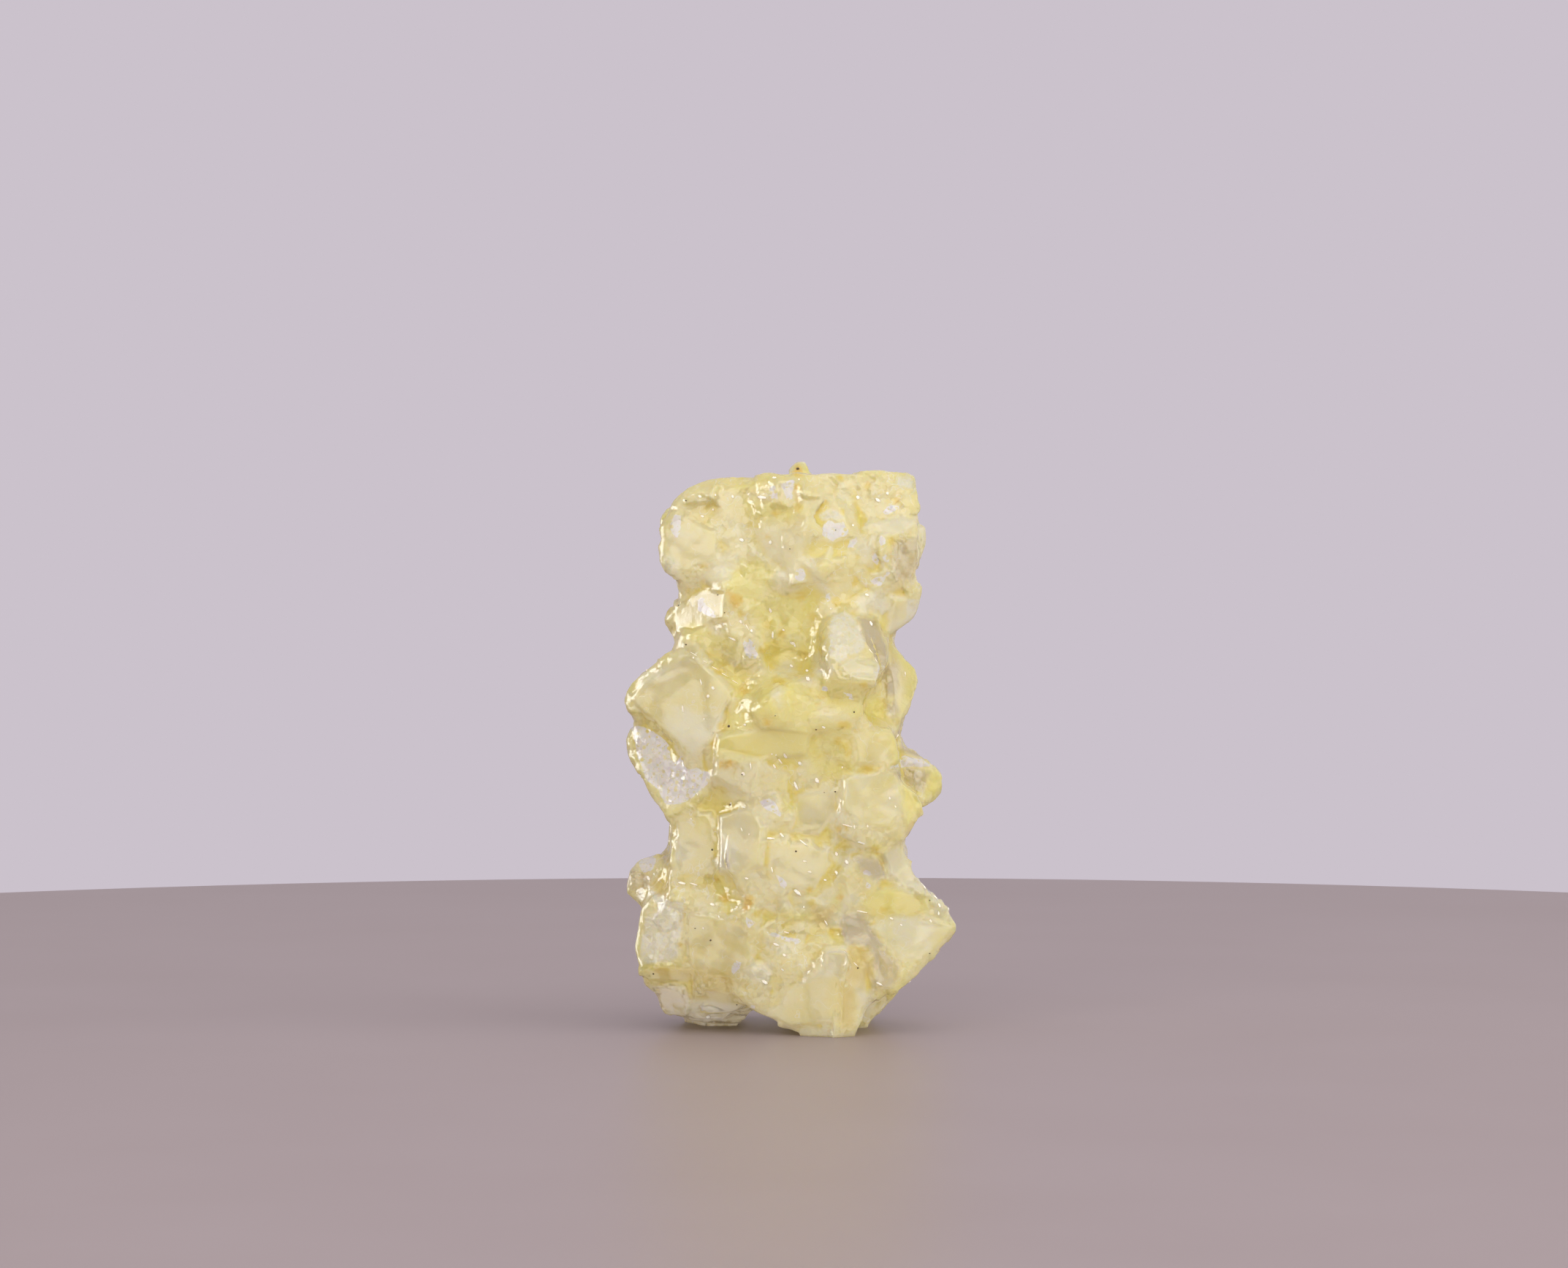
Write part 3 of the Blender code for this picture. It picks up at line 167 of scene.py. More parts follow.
# The large flat faces of the bigger crystals.
FACES = outlines(
    (-19.6, 40.2, -18, 42.4, -14.6, 44.6, -12.8, 45.8, -8.6, 43.2, -6.8, 41.4, -8.2, 38, -10.2, 34.6, -12.2, 33.6,
     -14.6, 35.6, -18, 38.4), (8.4, 50.2, 10.8, 50, 11.8, 46.8, 11.8, 44.4, 10.8, 44.8, 9.4, 47),
    (5.8, 44.3, 7, 45, 10.8, 44.8, 11.8, 43.9, 10.9, 42.6, 8, 42.8, 6.4, 43.2),
    (12.2, 47.4, 15.2, 44.2, 15.8, 42.4, 15.2, 40.4, 13.4, 37, 12.2, 38, 12, 43),
    (7.6, 36.6, 12.6, 36.4, 13.4, 33.8, 12, 32, 7.8, 32.2), (-9, 36, -2, 36.4, 2.6, 36, 2.2, 33.2, -4, 32.6, -9, 33.4),
    (6.6, 30.8, 12.8, 31.4, 13.5, 30, 13.5, 26.4, 12.4, 24.2, 9, 24.4, 6.6, 27),
    (13.8, 30, 15, 29.3, 16.3, 27.6, 15.2, 25.6, 14.2, 24, 13.6, 26.2),
    (11.2, 20.9, 12.4, 22.4, 13.6, 22.3, 15, 19.6, 16.2, 17.3, 14.4, 17.2, 12.2, 18.4),
    (7.6, 20.2, 9.4, 21.4, 11, 20.6, 11.8, 18.4, 10.4, 17.6, 8.4, 18.4),
    (10.4, 12.1, 12.6, 13.6, 17.2, 13.3, 20, 12.2, 18.6, 10.4, 16.6, 8.8, 15, 7.8, 13.9, 7.6, 12.6, 9, 11.4, 10.6),
    (6.4, 13.2, 8.6, 13.3, 9.8, 11.4, 10.8, 9.8, 12, 8.4, 13.3, 7.2, 13.6, 6.6, 12.8, 5.6, 12, 4.8, 10.5, 4.5,
     10.5, 6.4, 10.3, 9, 9.6, 9.7, 8.2, 10.1, 7, 10.4, 6.4, 11.2),
    (8.6, 15.3, 10.2, 16.5, 12, 17, 14, 16.7, 16.6, 15.7, 17.1, 15.2, 17.1, 14.1, 16, 13.8, 12, 13.9, 9.6, 14.1),
    (0.2, 5, 3.8, 6.8, 4.3, 10, 7, 9.9, 7.2, 8.4, 6, 5, 5.6, 0.4, 0, 0, -2.6, 1.4),
    (7.5, 8.3, 8.6, 7.6, 9.9, 7.6, 10.2, 5, 8.6, 1, 6.3, 0.4, 6.4, 5),
    (-18.4, 6.9, -13.8, 7.6, -12.2, 7.2, -12.6, 5.4, -17.2, 5.6),
    (-16.8, 4.8, -13, 5, -12.2, 2.6, -13, 1.2, -15.2, 1.6), (-12, 5, -7, 4.4, -5.6, 2.5, -8, 1.1, -12, 0.9),
    (-14, 26, -9.5, 26.4, -9.1, 22, -9.5, 18.8, -13.8, 18.8),
    (-8.7, 26, -5.2, 27, -2.8, 24.4, -3.2, 19.6, -6.6, 18.6, -8.7, 19),
    (-2.2, 22.4, 2.6, 22.8, 5, 20, 2.8, 16.8, -1, 17.2, -2.8, 19.2),
    (-12.6, 13.8, -9.2, 13.8, -5.8, 12.8, -4.2, 9, -6.4, 5.6, -11.4, 6.2, -12.6, 9),
    (1, 28.4, 5.4, 29.4, 6.2, 26.6, 3.6, 23.6, 0, 24),
    (-13.4, 51.6, -11.6, 53.4, -8, 53.6, -8, 50, -12.2, 48.2, -15, 49.6),
    (12.4, 52.8, 15.8, 52.4, 15.8, 50.8, 14.6, 49.2, 12.6, 48.2, 12, 50.2),
    (-15.2, 61, -12.6, 62.4, -9, 60.6, -8.6, 57, -14, 55.4, -15.8, 58),
    (10.2, 61.6, 12.3, 62.4, 15.2, 62.4, 15.5, 61.6, 14.5, 60.6, 13, 60.2, 11, 60.5),
    (12.8, 59.5, 15.6, 59.6, 16, 57.8, 14.6, 55, 13.2, 55, 12.6, 57),
)
# Where the yellow skin is strongest.
YELLOW_AREAS = outlines(
    (-7.2, 56, -4, 57.5, -2, 56.2, -1.5, 54.8, -3.5, 52.5, -6.5, 51.2, -8, 54),
    (-5.4, 52.4, 3.4, 53, 4, 48, 3.4, 44.4, 0.6, 46, -3.6, 47.4), (0.4, 64, 1.6, 64.2, 1.8, 62.8, 0.8, 62.8),
    (-5.6, 64.4, -0.6, 64.2, 1.4, 62.4, -2.4, 61.8, -5.2, 62.6),
    (-12.2, 49.6, -6.6, 47.6, -6, 45, -11.4, 46.8, -13.6, 47.6),
    (-20.2, 40, -18.6, 38.6, -15.2, 36.2, -12.6, 34.2, -12.4, 33.2, -15, 34.9, -18.4, 37.3),
    (-19.8, 41, -18.9, 42.4, -15.9, 44.8, -14.4, 46.4, -14, 45.9, -15.6, 44.1, -18.6, 41.8),
    (-7, 42.6, -1, 43.2, 4, 41, 3, 37, -8.8, 35.6, -6.8, 38.6),
    (-9.8, 35.2, -2, 37.2, 7.8, 37.2, 7.2, 33.2, -4, 32.6, -9.8, 33.2),
    (-19.9, 35.6, -18.6, 32.6, -15.9, 27.4, -15.3, 26.2, -16, 28.6, -17.8, 31.4, -19.2, 35.6),
    (-15.8, 26.8, -13.6, 27, -10, 29.2, -9.2, 28.4, -13.6, 26.2, -15.4, 25.8),
    (-14.8, 25.4, -14.3, 25.4, -14.2, 20.4, -15, 19.6),
    (-8.8, 17, -7.8, 17.1, -7, 16, -6.4, 15.6, -6.8, 14.6, -7.6, 13.9, -9, 14.2, -9.1, 15.2),
    (-4.6, 14.6, -3.4, 13.8, 3.2, 14, 3.4, 13, -3.6, 13, -4.6, 13.8),
    (-18.9, 15, -18.2, 15, -18.4, 8, -13.2, 7.8, -13.4, 7, -18.8, 6.4), (-18.6, 6, -17.2, 5.2, -12.6, 5, -12.4, 6),
    (13.6, 30, 15, 29.2, 16, 28.2, 16.7, 27.4, 16, 26.4, 15, 25, 14.4, 24.4, 14, 26),
    (17, 31.6, 18.6, 31.2, 19, 29.8, 18.2, 28, 16.8, 27.6, 16.6, 29.4), (9.8, 22.3, 12.2, 22.4, 12.2, 21.2, 9.8, 21.2),
    (8.6, 14.3, 9.6, 16.4, 12, 17.3, 14, 16.6, 17.2, 15.8, 17.4, 14.4, 16.4, 13.7, 13, 13.8, 10, 13.9),
    (5, 14.8, 5.6, 16, 6.3, 17.1, 6.6, 15.6, 6, 14.5), (4.5, 12, 5.4, 12.2, 5.5, 11.4, 6.6, 10.5, 4.7, 10.6),
    (12, 4.2, 14, 5.6, 14.1, 4.6, 12.8, 3.4, 10.6, 3.3, 10.6, 3.9),
    (12.8, 36.8, 13.6, 35, 13.7, 31.8, 12.6, 32.4, 12.2, 34.4),
    (12, 47.6, 15.6, 44.6, 16, 42.4, 15.2, 40, 13.4, 36.4, 13.6, 40, 15, 42.6, 13, 45.6),
    (9, 50.3, 11, 50.3, 11.9, 47, 11.2, 48, 10.4, 49.8), (11.9, 58.7, 12.3, 60, 13.1, 60.1, 12.8, 58.3),
    (-7, 66.4, -1.6, 67.8, 2.6, 68.9, 2.8, 67.6, -1.6, 66.9, -6.4, 65.8),
    (-16.2, 59.6, -15.8, 62.6, -14.8, 64.2, -14.6, 62.8, -15.4, 61, -15.4, 58.4),
    (3, 43.2, 7.4, 42.4, 11, 40.6, 11.4, 38.4, 8.4, 37.4, 4.6, 39.4),
    (2.6, 32.8, 7.6, 32.8, 8.2, 31.4, 4.2, 30.4, 2.4, 31.2), (-0.8, 27.8, 1.4, 27.8, 1.2, 26.4, -0.6, 26.2),
)
# Painted shade: shaded faces and crevices coloured a darker, brownish yellow.
SHADED_TAN_AREAS = outlines(
    (-16.8, 17.9, -14.8, 17.9, -14.7, 17.2, -15.4, 16.2, -16, 16.3, -16.9, 17.2),
    (-18.3, 18.8, -16.9, 19.2, -17, 18.8, -18.2, 18.2), (7.2, 9.9, 9.6, 9.5, 10.3, 8, 10.3, 6.2, 8.8, 5.8, 7.4, 6.8),
    (6, 5.4, 7.8, 5.4, 7.8, 0, 6.2, -0.6), (2.8, 14.6, 5.6, 14.6, 4.4, 12.4, 3, 12.4),
    (13.4, 55.2, 14.8, 56.8, 16, 57.6, 15.6, 56.4, 14.6, 54.8),
    (-16.4, 7.2, -12.4, 7.4, -7.4, 7, -7.2, 4.4, -11.6, 4, -12, 5.8, -16.4, 6.4),
    (14.4, 23.8, 16.6, 27.2, 16.8, 27, 14.6, 23.2), (-9.4, 32.4, -6.6, 32.4, -6.6, 31.7, -9.3, 31.6),
)
# Deeper yellow spots: x, z and radius.
YELLOW_SPOTS = (
    (-10.6, 56.3, 0.4), (-5.0, 61.6, 0.35), (-1.7, 62.8, 0.45), (1.1, 63.5, 0.6), (8.3, 57.4, 0.3), (8.0, 54.3, 0.35),
    (1.4, 52.6, 0.6), (-12.4, 53.5, 0.35), (-8.8, 52.0, 0.35), (-2.7, 59.8, 0.35), (6.4, 63.1, 0.4), (9.5, 66.3, 0.5),
    (6.2, 67.3, 0.45), (1.0, 66.0, 0.5), (-15.0, 51.0, 0.4), (-12.5, 51.2, 0.45), (-8.8, 43.6, 0.4),
    (-8.7, 40.8, 0.45), (-10.8, 41.8, 0.35), (-5.4, 42.3, 0.4), (-12.2, 43.5, 0.8), (-3.4, 46.1, 0.4),
    (-1.6, 46.4, 0.45), (-1.2, 42.5, 0.5), (-1.8, 42.6, 0.4), (-8.4, 36.8, 0.5), (-9.4, 34.6, 0.55), (1.6, 45.7, 0.45),
    (2.6, 43.2, 0.3), (9.1, 41.8, 0.5), (6.4, 36.9, 0.6), (7.2, 36.8, 0.5), (5.9, 35.0, 0.45), (6.9, 34.4, 0.45),
    (7.2, 33.4, 0.4), (3.6, 32.8, 0.45), (9.5, 31.5, 0.5), (2.7, 50.2, 0.5), (5.7, 52.0, 0.6), (0.6, 31.7, 0.3),
    (-8.9, 18.1, 0.35), (2.6, 15.1, 0.55), (2.5, 16.8, 0.35), (5.0, 11.6, 0.45), (11.4, 14.6, 0.5), (13.4, 14.8, 0.5),
    (15.1, 15.2, 0.4), (-11.9, 9.8, 0.4), (-13.5, 10.0, 0.3), (3.0, 20.5, 0.5), (-4.0, 13.8, 0.45), (-6.0, 50.6, 0.4),
    (-17.0, 34.8, 0.4), (-16.7, 33.5, 0.3), (-15.1, 30.9, 0.4), (-11.4, 30.6, 0.45), (-18.9, 35.4, 0.3),
    (-2.6, 49.2, 0.7), (-1.0, 48.0, 0.6), (5.8, 24.1, 0.3), (6.8, 24.2, 0.35), (10.6, 21.8, 0.4), (12.6, 59.4, 0.45),
)
# Orange spots, in the same way.
ORANGE_SPOTS = (
    (-6.6, 52.2, 0.8), (-7.4, 53.1, 0.5), (-5.0, 15.2, 0.7), (-5.3, 14.7, 0.5), (-2.8, 37.2, 0.6), (3.85, 40.5, 0.4),
    (13.2, 64.3, 0.3), (-8.6, 32.1, 0.4), (-7.4, 32.1, 0.3), (-5.9, 41.2, 0.45), (-8.0, 15.6, 0.5), (6.2, 15.8, 0.3),
    (0.9, 68.2, 0.6),
)
# Small bright flakes, painted highlights that stand in for the glints of tiny facets: x, z, length, width and the lean
# of the long side from upright in degrees.
GLINT_FLAKES = (
    (-11.0, 64.9, 0.6, 0.4, 60), (-9.4, 63.3, 0.35, 0.3, 0), (-9.1, 65.1, 0.3, 0.25, 0), (-7.0, 64.9, 0.6, 0.4, 20),
    (-10.7, 62.5, 0.6, 0.35, 70), (-5.9, 59.6, 0.8, 0.5, 70), (-2.4, 59.3, 0.6, 0.45, 0), (-3.4, 64.8, 1.6, 0.5, 80),
    (-1.9, 67.2, 0.7, 0.35, 75), (1.1, 67.0, 0.35, 0.3, 0), (8.3, 64.8, 0.6, 0.5, 20), (11.9, 65.3, 0.5, 0.5, 0),
    (10.7, 64.5, 0.8, 0.5, 50), (7.7, 61.4, 0.35, 0.35, 0), (16.3, 61.4, 0.35, 0.3, 0), (-6.0, 49.6, 0.6, 0.35, 25),
    (-4.7, 48.5, 0.45, 0.4, 0), (-5.3, 49.1, 1.5, 0.15, 30), (-2.4, 51.0, 0.9, 0.4, 20), (-11.8, 45.2, 0.3, 0.3, 0),
    (-9.4, 41.5, 0.7, 0.45, 40), (-10.0, 40.5, 0.55, 0.45, 0), (-13.1, 39.0, 1.3, 0.22, 8), (-10.9, 42.3, 0.9, 0.2, 20),
    (-10.5, 37.7, 0.25, 0.25, 0), (-5.5, 37.0, 0.45, 0.35, 70), (0.3, 47.0, 0.9, 0.5, 60), (0.6, 46.7, 0.5, 0.3, 10),
    (0.2, 44.2, 0.7, 0.35, 40), (2.1, 43.6, 0.6, 0.4, 40), (2.2, 42.6, 0.9, 0.6, 30), (-2.1, 48.0, 1.1, 0.3, 0),
    (-0.8, 48.6, 0.4, 0.3, 70), (5.0, 51.2, 0.3, 0.3, 0), (9.4, 52.9, 0.6, 0.35, 60), (4.1, 36.7, 0.6, 0.35, 60),
    (1.2, 32.3, 0.6, 0.5, 40), (6.4, 31.8, 0.35, 0.25, 0), (3.3, 30.2, 0.8, 0.6, 20), (9.9, 49.4, 0.8, 0.5, 15),
    (14.1, 43.3, 0.7, 0.2, 12), (-5.6, 26.9, 0.6, 0.2, 70), (-12.1, 25.5, 0.25, 0.25, 0), (-5.0, 23.6, 0.3, 0.25, 0),
    (-2.6, 23.1, 2.0, 0.35, 88), (-1.0, 23.5, 0.9, 0.3, 40), (-2.2, 19.3, 0.8, 0.2, 15), (-5.3, 18.2, 0.6, 0.3, 70),
    (-5.9, 24.2, 0.6, 0.2, 30), (0.8, 16.6, 1.4, 0.5, 45), (-6.5, 14.7, 0.5, 0.25, 70), (-9.5, 15.0, 0.8, 0.4, 70),
    (-10.6, 12.1, 0.35, 0.35, 0), (-8.7, 13.5, 0.6, 0.2, 20), (-0.5, 11.6, 1.0, 0.25, 75), (-1.7, 10.1, 0.9, 0.35, 65),
    (-0.7, 8.8, 0.6, 0.4, 50), (-0.9, 7.0, 0.5, 0.3, 50), (-3.1, 5.5, 1.0, 0.5, 60), (-6.2, 1.5, 2.2, 0.22, 68),
    (-10.0, 1.2, 0.7, 0.5, 80), (0.7, 29.6, 1.3, 0.4, 20), (6.9, 24.7, 1.5, 0.2, 75), (7.9, 24.5, 0.6, 0.25, 10),
    (8.6, 22.6, 1.2, 0.3, 70), (9.5, 24.6, 0.4, 0.3, 0), (1.6, 22.6, 1.7, 0.2, 45), (1.8, 20.3, 0.6, 0.25, 80),
    (5.7, 21.2, 0.6, 0.45, 20), (6.95, 20.2, 0.8, 0.45, 35), (5.7, 18.9, 0.8, 0.4, 35), (2.4, 19.0, 0.6, 0.25, 80),
    (4.3, 18.0, 0.5, 0.3, 70), (1.7, 14.7, 0.3, 0.25, 0), (4.4, 12.8, 0.9, 0.25, 30), (8.4, 14.2, 2.4, 0.15, 78),
    (17.3, 16.8, 0.9, 0.35, 30), (17.8, 15.9, 0.8, 0.3, 35), (18.3, 14.9, 0.8, 0.35, 20), (18.2, 13.9, 0.6, 0.3, 0),
    (17.2, 13.0, 0.7, 0.35, 40), (12.4, 13.3, 0.6, 0.3, 60), (13.6, 12.5, 0.4, 0.2, 50), (10.9, 5.3, 1.2, 0.3, 60),
    (7.9, 7.8, 1.2, 0.15, 50), (-13.2, 17.6, 1.2, 0.4, 75), (-11.8, 17.5, 1.3, 0.2, 70), (-19.7, 17.9, 1.6, 0.2, 5),
    (-15.0, 23.8, 1.0, 0.22, 8), (12.2, 28.0, 0.5, 0.3, 10), (10.1, 45.6, 2.6, 0.14, 32), (-9.3, 44.0, 7.4, 0.10, 56),
    (-1.3, 32.7, 1.6, 0.25, 35), (-0.6, 33.2, 0.9, 0.4, 20), (-1.9, 31.9, 0.7, 0.3, 30), (-4.8, 32.0, 1.2, 0.2, 5),
    (-7.0, 47.5, 1.2, 0.3, 65), (-5.7, 31.0, 0.7, 0.45, 40), (-7.2, 27.4, 0.35, 0.3, 0), (12.9, 27.0, 0.4, 0.2, 30),
    (-17.3, 18.2, 0.9, 0.5, 40), (-16.6, 18.7, 0.5, 0.3, 20), (-2.2, 33.4, 0.25, 0.25, 0), (-1.7, 33.3, 0.25, 0.25, 0),
)
# Dark specks: x, z and radius.
DARK_SPECKS = (
    (0.95, 68.3, 0.2), (-7.45, 36.8, 0.17), (3.2, 36.4, 0.13), (-5.8, 30.9, 0.15), (-9.5, 21.7, 0.13),
    (0.75, 21.5, 0.13), (-9.7, 10.6, 0.13), (-12.7, 64.4, 0.11), (-13.6, 51.6, 0.12), (5.55, 28.8, 0.11),
    (7.85, 38.55, 0.12), (-8.8, 52.9, 0.1), (-8.0, 50.7, 0.09), (-12.7, 46.8, 0.11), (8.3, 7.2, 0.14),
    (-16.7, 6.5, 0.13), (-11.6, 12.05, 0.1), (4.2, 28.7, 0.08), (-7.3, 27.2, 0.12), (17.1, 9.0, 0.1),
    (17.1, 15.5, 0.1), (-1.8, 38.1, 0.09), (-6.5, 2.7, 0.1), (5.6, 60.8, 0.08), (0.0, 58.5, 0.08),
)
# Rough patches of small crystals.
CRUMBLY_AREAS = outlines(
    (-2, 68, 15.6, 68, 16.2, 60, 12.4, 54, 3, 54, 0, 62), (16.2, 17.6, 20.4, 13.4, 18, 12.4, 16.4, 14),
    (-3.2, 53, 2.4, 53, 2.4, 43.6, -3, 44), (-3.6, 13.4, 4.4, 14, 4, 8, -3.6, 8), (-3.4, 34.6, 1.6, 34, 2, 28, -4, 27),
    (3, 25.6, 8.6, 25.6, 9.6, 18.2, 3.4, 17.6),
)
# Where neighbouring crystals melt into each other.
BLENDED_AREAS = outlines(
    (-7, 44.5, 4, 44.5, 12, 42.6, 13, 36, 8, 34.4, -8, 34.4), (-18.6, 8.6, -12, 8.6, -11.6, 5.8, -18.4, 5.6),
    (2, 54, 4.6, 56, 12, 54.4, 12, 50.6, 4, 50.8), (-12, 55.4, -2, 56, -2, 52, -12, 53),
    (4, 24.6, 12, 24.4, 13, 22, 5, 21.6), (-14.6, 18.8, -8, 18.8, -8, 13.8, -13, 13.8),
)
# The masks that the finish reads, each from the outlines or spots of one kind.
AREA_MASKS = {
    "flat_in": FACES, "glint_white_in": PAINTED_GLINT_FACETS, "frost_in": FROSTED_FACES, "pale_in": PALE_FACES,
    "clear_in": CLEAR_FACES, "yellow_in": YELLOW_AREAS, "shade_tan_in": SHADED_TAN_AREAS,
}
SPOT_MASKS = {"yellow_spot_in": YELLOW_SPOTS, "orange_spot_in": ORANGE_SPOTS}
FAR_OUTSIDE = -9.0

# The skin: cell sizes while it is made, the widest gap between crystals that is closed, and its final fineness.
COARSE = 0.5 * MM
FINE = 0.25 * MM
GAP_FILL = 1.8 * MM
OVERLAP = 0.1 * MM
MOST_TRIANGLES = 180000
RESTING_HEIGHT = 0.3 * MM
MOST_FLATTENING = 1.1 * MM
FACET_RIM = 0.4
SAFE_EDGE = 0.01 * MM
# How near the solid's sides, foot and top the surface may be changed.
SIDE_ROOM = 1.0 * MM
FOOT_ROOM = 1.2 * MM
TOP_ROOM = 1.6 * MM
# Small crystals on the surface: gap between them, least and most width, least and most rise above it.
CHIP_SIZES = (
    (3.8, (2.0, 3.8), (0.1, 0.4)),
    (2.0, (0.9, 2.0), (0.05, 0.22)),
)
CHIPS_AT_ONCE = 25
# Their random turn and lean in degrees, and how much smaller they are on the sides.
CHIP_SPIN = 28
CHIP_LEAN = 13
SIDE_SHRINK = 0.55
# Facets of the broken surface, coarse and fine: gap between them, lean, depth, seed, and what is left of them on the
# large flat faces and on the rough patches.
FACET_ROUNDS = (
    (4.2, 0.16, 0.42, 3, 0.0, 0.5),
    (1.9, 0.20, 0.22, 8, 0.1, 1.0),
)
# Long flakes are laid in steps of about this length. The scattered ones away from the front have this gap between
# them, and leave this share of places bare. Those on the front turn partly to the light.
GLINT_FLAKE_STEP = 1.6
GLINT_FLAKE_GAP = 3.4
BARE_SHARE = 0.35
GLINT_WAY = Vector((-0.25, -0.91, 0.33)).normalized()

CRYSTAL_IOR = 1.54
LIGHTS_AIM = Vector((0, 0, 0.035))
TABLE_RADIUS = 0.265


def mesh_arrays(mesh):
    """The mesh's points, point normals and edges."""
    co = np.empty(len(mesh.vertices) * 3)
    mesh.vertices.foreach_get("co", co)
    no = np.empty(len(mesh.vertices) * 3)
    mesh.vertices.foreach_get("normal", no)
    edges = np.empty(len(mesh.edges) * 2, np.int64)
    mesh.edges.foreach_get("vertices", edges)
    return co.reshape(-1, 3), no.reshape(-1, 3), edges.reshape(-1, 2)


def normals_of(mesh, co):
    """The mesh's point normals with its points moved to these places."""
    mesh.vertices.foreach_set("co", co.ravel())
    mesh.update()
    return mesh_arrays(mesh)[1]


def mesh_from(bm, name, outwards=True):
    """The bmesh as a mesh, its faces turned outwards; the bmesh is freed."""
    if outwards:
        bmesh.ops.recalc_face_normals(bm, faces=bm.faces)
    mesh = bpy.data.meshes.new(name)
    bm.to_mesh(mesh)
    bm.free()
    return mesh


def placed(name, data):
    """A new object in the scene."""
    made = bpy.data.objects.new(name, data)
    bpy.context.collection.objects.link(made)
    return made


def finished(mesh, kind, **settings):
    """A new mesh with one modifier applied; the old mesh is removed."""
    helper = placed("helper", mesh)
    modifier = helper.modifiers.new("step", kind)
    for name, value in settings.items():
        setattr(modifier, name, value)
    graph = bpy.context.evaluated_depsgraph_get()
    made = bpy.data.meshes.new_from_object(helper.evaluated_get(graph))
    bpy.data.objects.remove(helper)
    bpy.data.meshes.remove(mesh)
    return made


def one_skin(mesh, voxel):
    """The outer skin of everything in the mesh."""
    return finished(mesh, "REMESH", mode="VOXEL", voxel_size=voxel)


def swollen(mesh, distance):
    """The mesh grown outwards, or shrunk by a negative distance."""
    return finished(mesh, "DISPLACE", strength=distance, mid_level=0.0)


def solid_copy(node):
    """The node's solid with its doubles merged."""
    bm = bmesh.new()
    bm.from_mesh(node.data)
    bmesh.ops.remove_doubles(bm, verts=bm.verts, dist=0.003 * MM)
    return mesh_from(bm, "solid")


def filled_body(node):
    """The solid with the narrow gaps between its crystals closed."""
    body = one_skin(solid_copy(node), COARSE)
    body = one_skin(swollen(body, GAP_FILL), COARSE)
    return one_skin(swollen(body, -GAP_FILL - OVERLAP), COARSE)


def spread(co, gap, rng, tries):
    """Indices of points picked at random, none nearer than the gap to another."""
    cells = {}
    picked = []
    for index in rng.sample(range(len(co)), min(tries, len(co))):
        point = tuple(co[index])
        key = tuple(int(part // gap) for part in point)
        around = itertools.product(*((part - 1, part, part + 1) for part in key))
        near = (other for cell in around for other in cells.get(cell, ()))
        if all(sum((a - b) ** 2 for a, b in zip(point, other)) >= gap * gap for other in near):
            cells.setdefault(key, []).append(point)
            picked.append(index)
    return picked


def add_chip(bm, place, normal, size, rise, rng):
    """One small block with a cut corner, sunk in the surface until only its face stands out."""
    depth = 0.6 * size + rise
    wide = size * rng.uniform(0.7, 1.3)
    made = bmesh.ops.create_cube(bm, size=1.0)["verts"]
    for vert in made:
        corner = Vector((vert.co.x * size, vert.co.y * wide, vert.co.z * depth - depth / 2 + rise))
        vert.co = corner + Vector([rng.uniform(-0.10, 0.10) * size for _ in range(3)])
    slant = Vector((rng.choice((-1, 1)), rng.choice((-1, 1)), rng.uniform(0.2, 1.2))).normalized()
    geom = list(dict.fromkeys(item for vert in made for item in (vert, *vert.link_edges, *vert.link_faces)))
    cut = bmesh.ops.bisect_plane(
        bm, geom=geom, plane_co=slant * size * rng.uniform(0.38, 0.6), plane_no=slant, clear_outer=True
    )
    rim = [item for item in cut["geom_cut"] if isinstance(item, bmesh.types.BMEdge)]
    if rim:
        bmesh.ops.contextual_create(bm, geom=rim)
    kept = dict.fromkeys(item for item in cut["geom"] + cut["geom_cut"] if isinstance(item, bmesh.types.BMVert))
    turn = Vector(normal).to_track_quat("Z", "Y").to_matrix()
    spin = Matrix.Rotation(math.radians(rng.gauss(0, CHIP_SPIN)), 3, "Z")
    lean_x = Matrix.Rotation(math.radians(rng.gauss(0, CHIP_LEAN)), 3, "X")
    lean_y = Matrix.Rotation(math.radians(rng.gauss(0, CHIP_LEAN)), 3, "Y")
    shape = turn @ spin @ lean_x @ lean_y
    for vert in kept:
        vert.co = Vector(place) + shape @ vert.co


def chip_batch(batch, rng):
    """A mesh of a few chips."""
    bm = bmesh.new()
    for place, normal, size, rise in batch:
        add_chip(bm, place, normal, size, rise, rng)
    return mesh_from(bm, "chips")


def chip_places(co, no, rng):
    """Where small crystals grow: place, normal, width and rise of each."""
    inner = ((co - low_corner > SIDE_ROOM) & (high_corner - co > SIDE_ROOM))[:, [0, 1]].all(axis=1)
    inner &= (co[:, 2] > FOOT_ROOM) & (co[:, 2] < high_corner[2] - TOP_ROOM)
    chips = []
    for gap, sizes, rise in CHIP_SIZES:
        for index in spread(co, gap * MM, rng, tries=40000):
            on_front = no[index][1] < -0.3 and co[index][1] < 2.0 * MM
            growth = noise.noise(Vector(co[index]) * 130 + Vector((gap, 0, 0)))
            if on_front or not inner[index] or growth < -0.05:
                continue
            share = 1.0 if abs(no[index][1]) > 0.45 else SIDE_SHRINK
            chips.append((co[index], no[index], rng.uniform(*sizes) * share * MM, rng.uniform(*rise) * share * MM))
    return chips


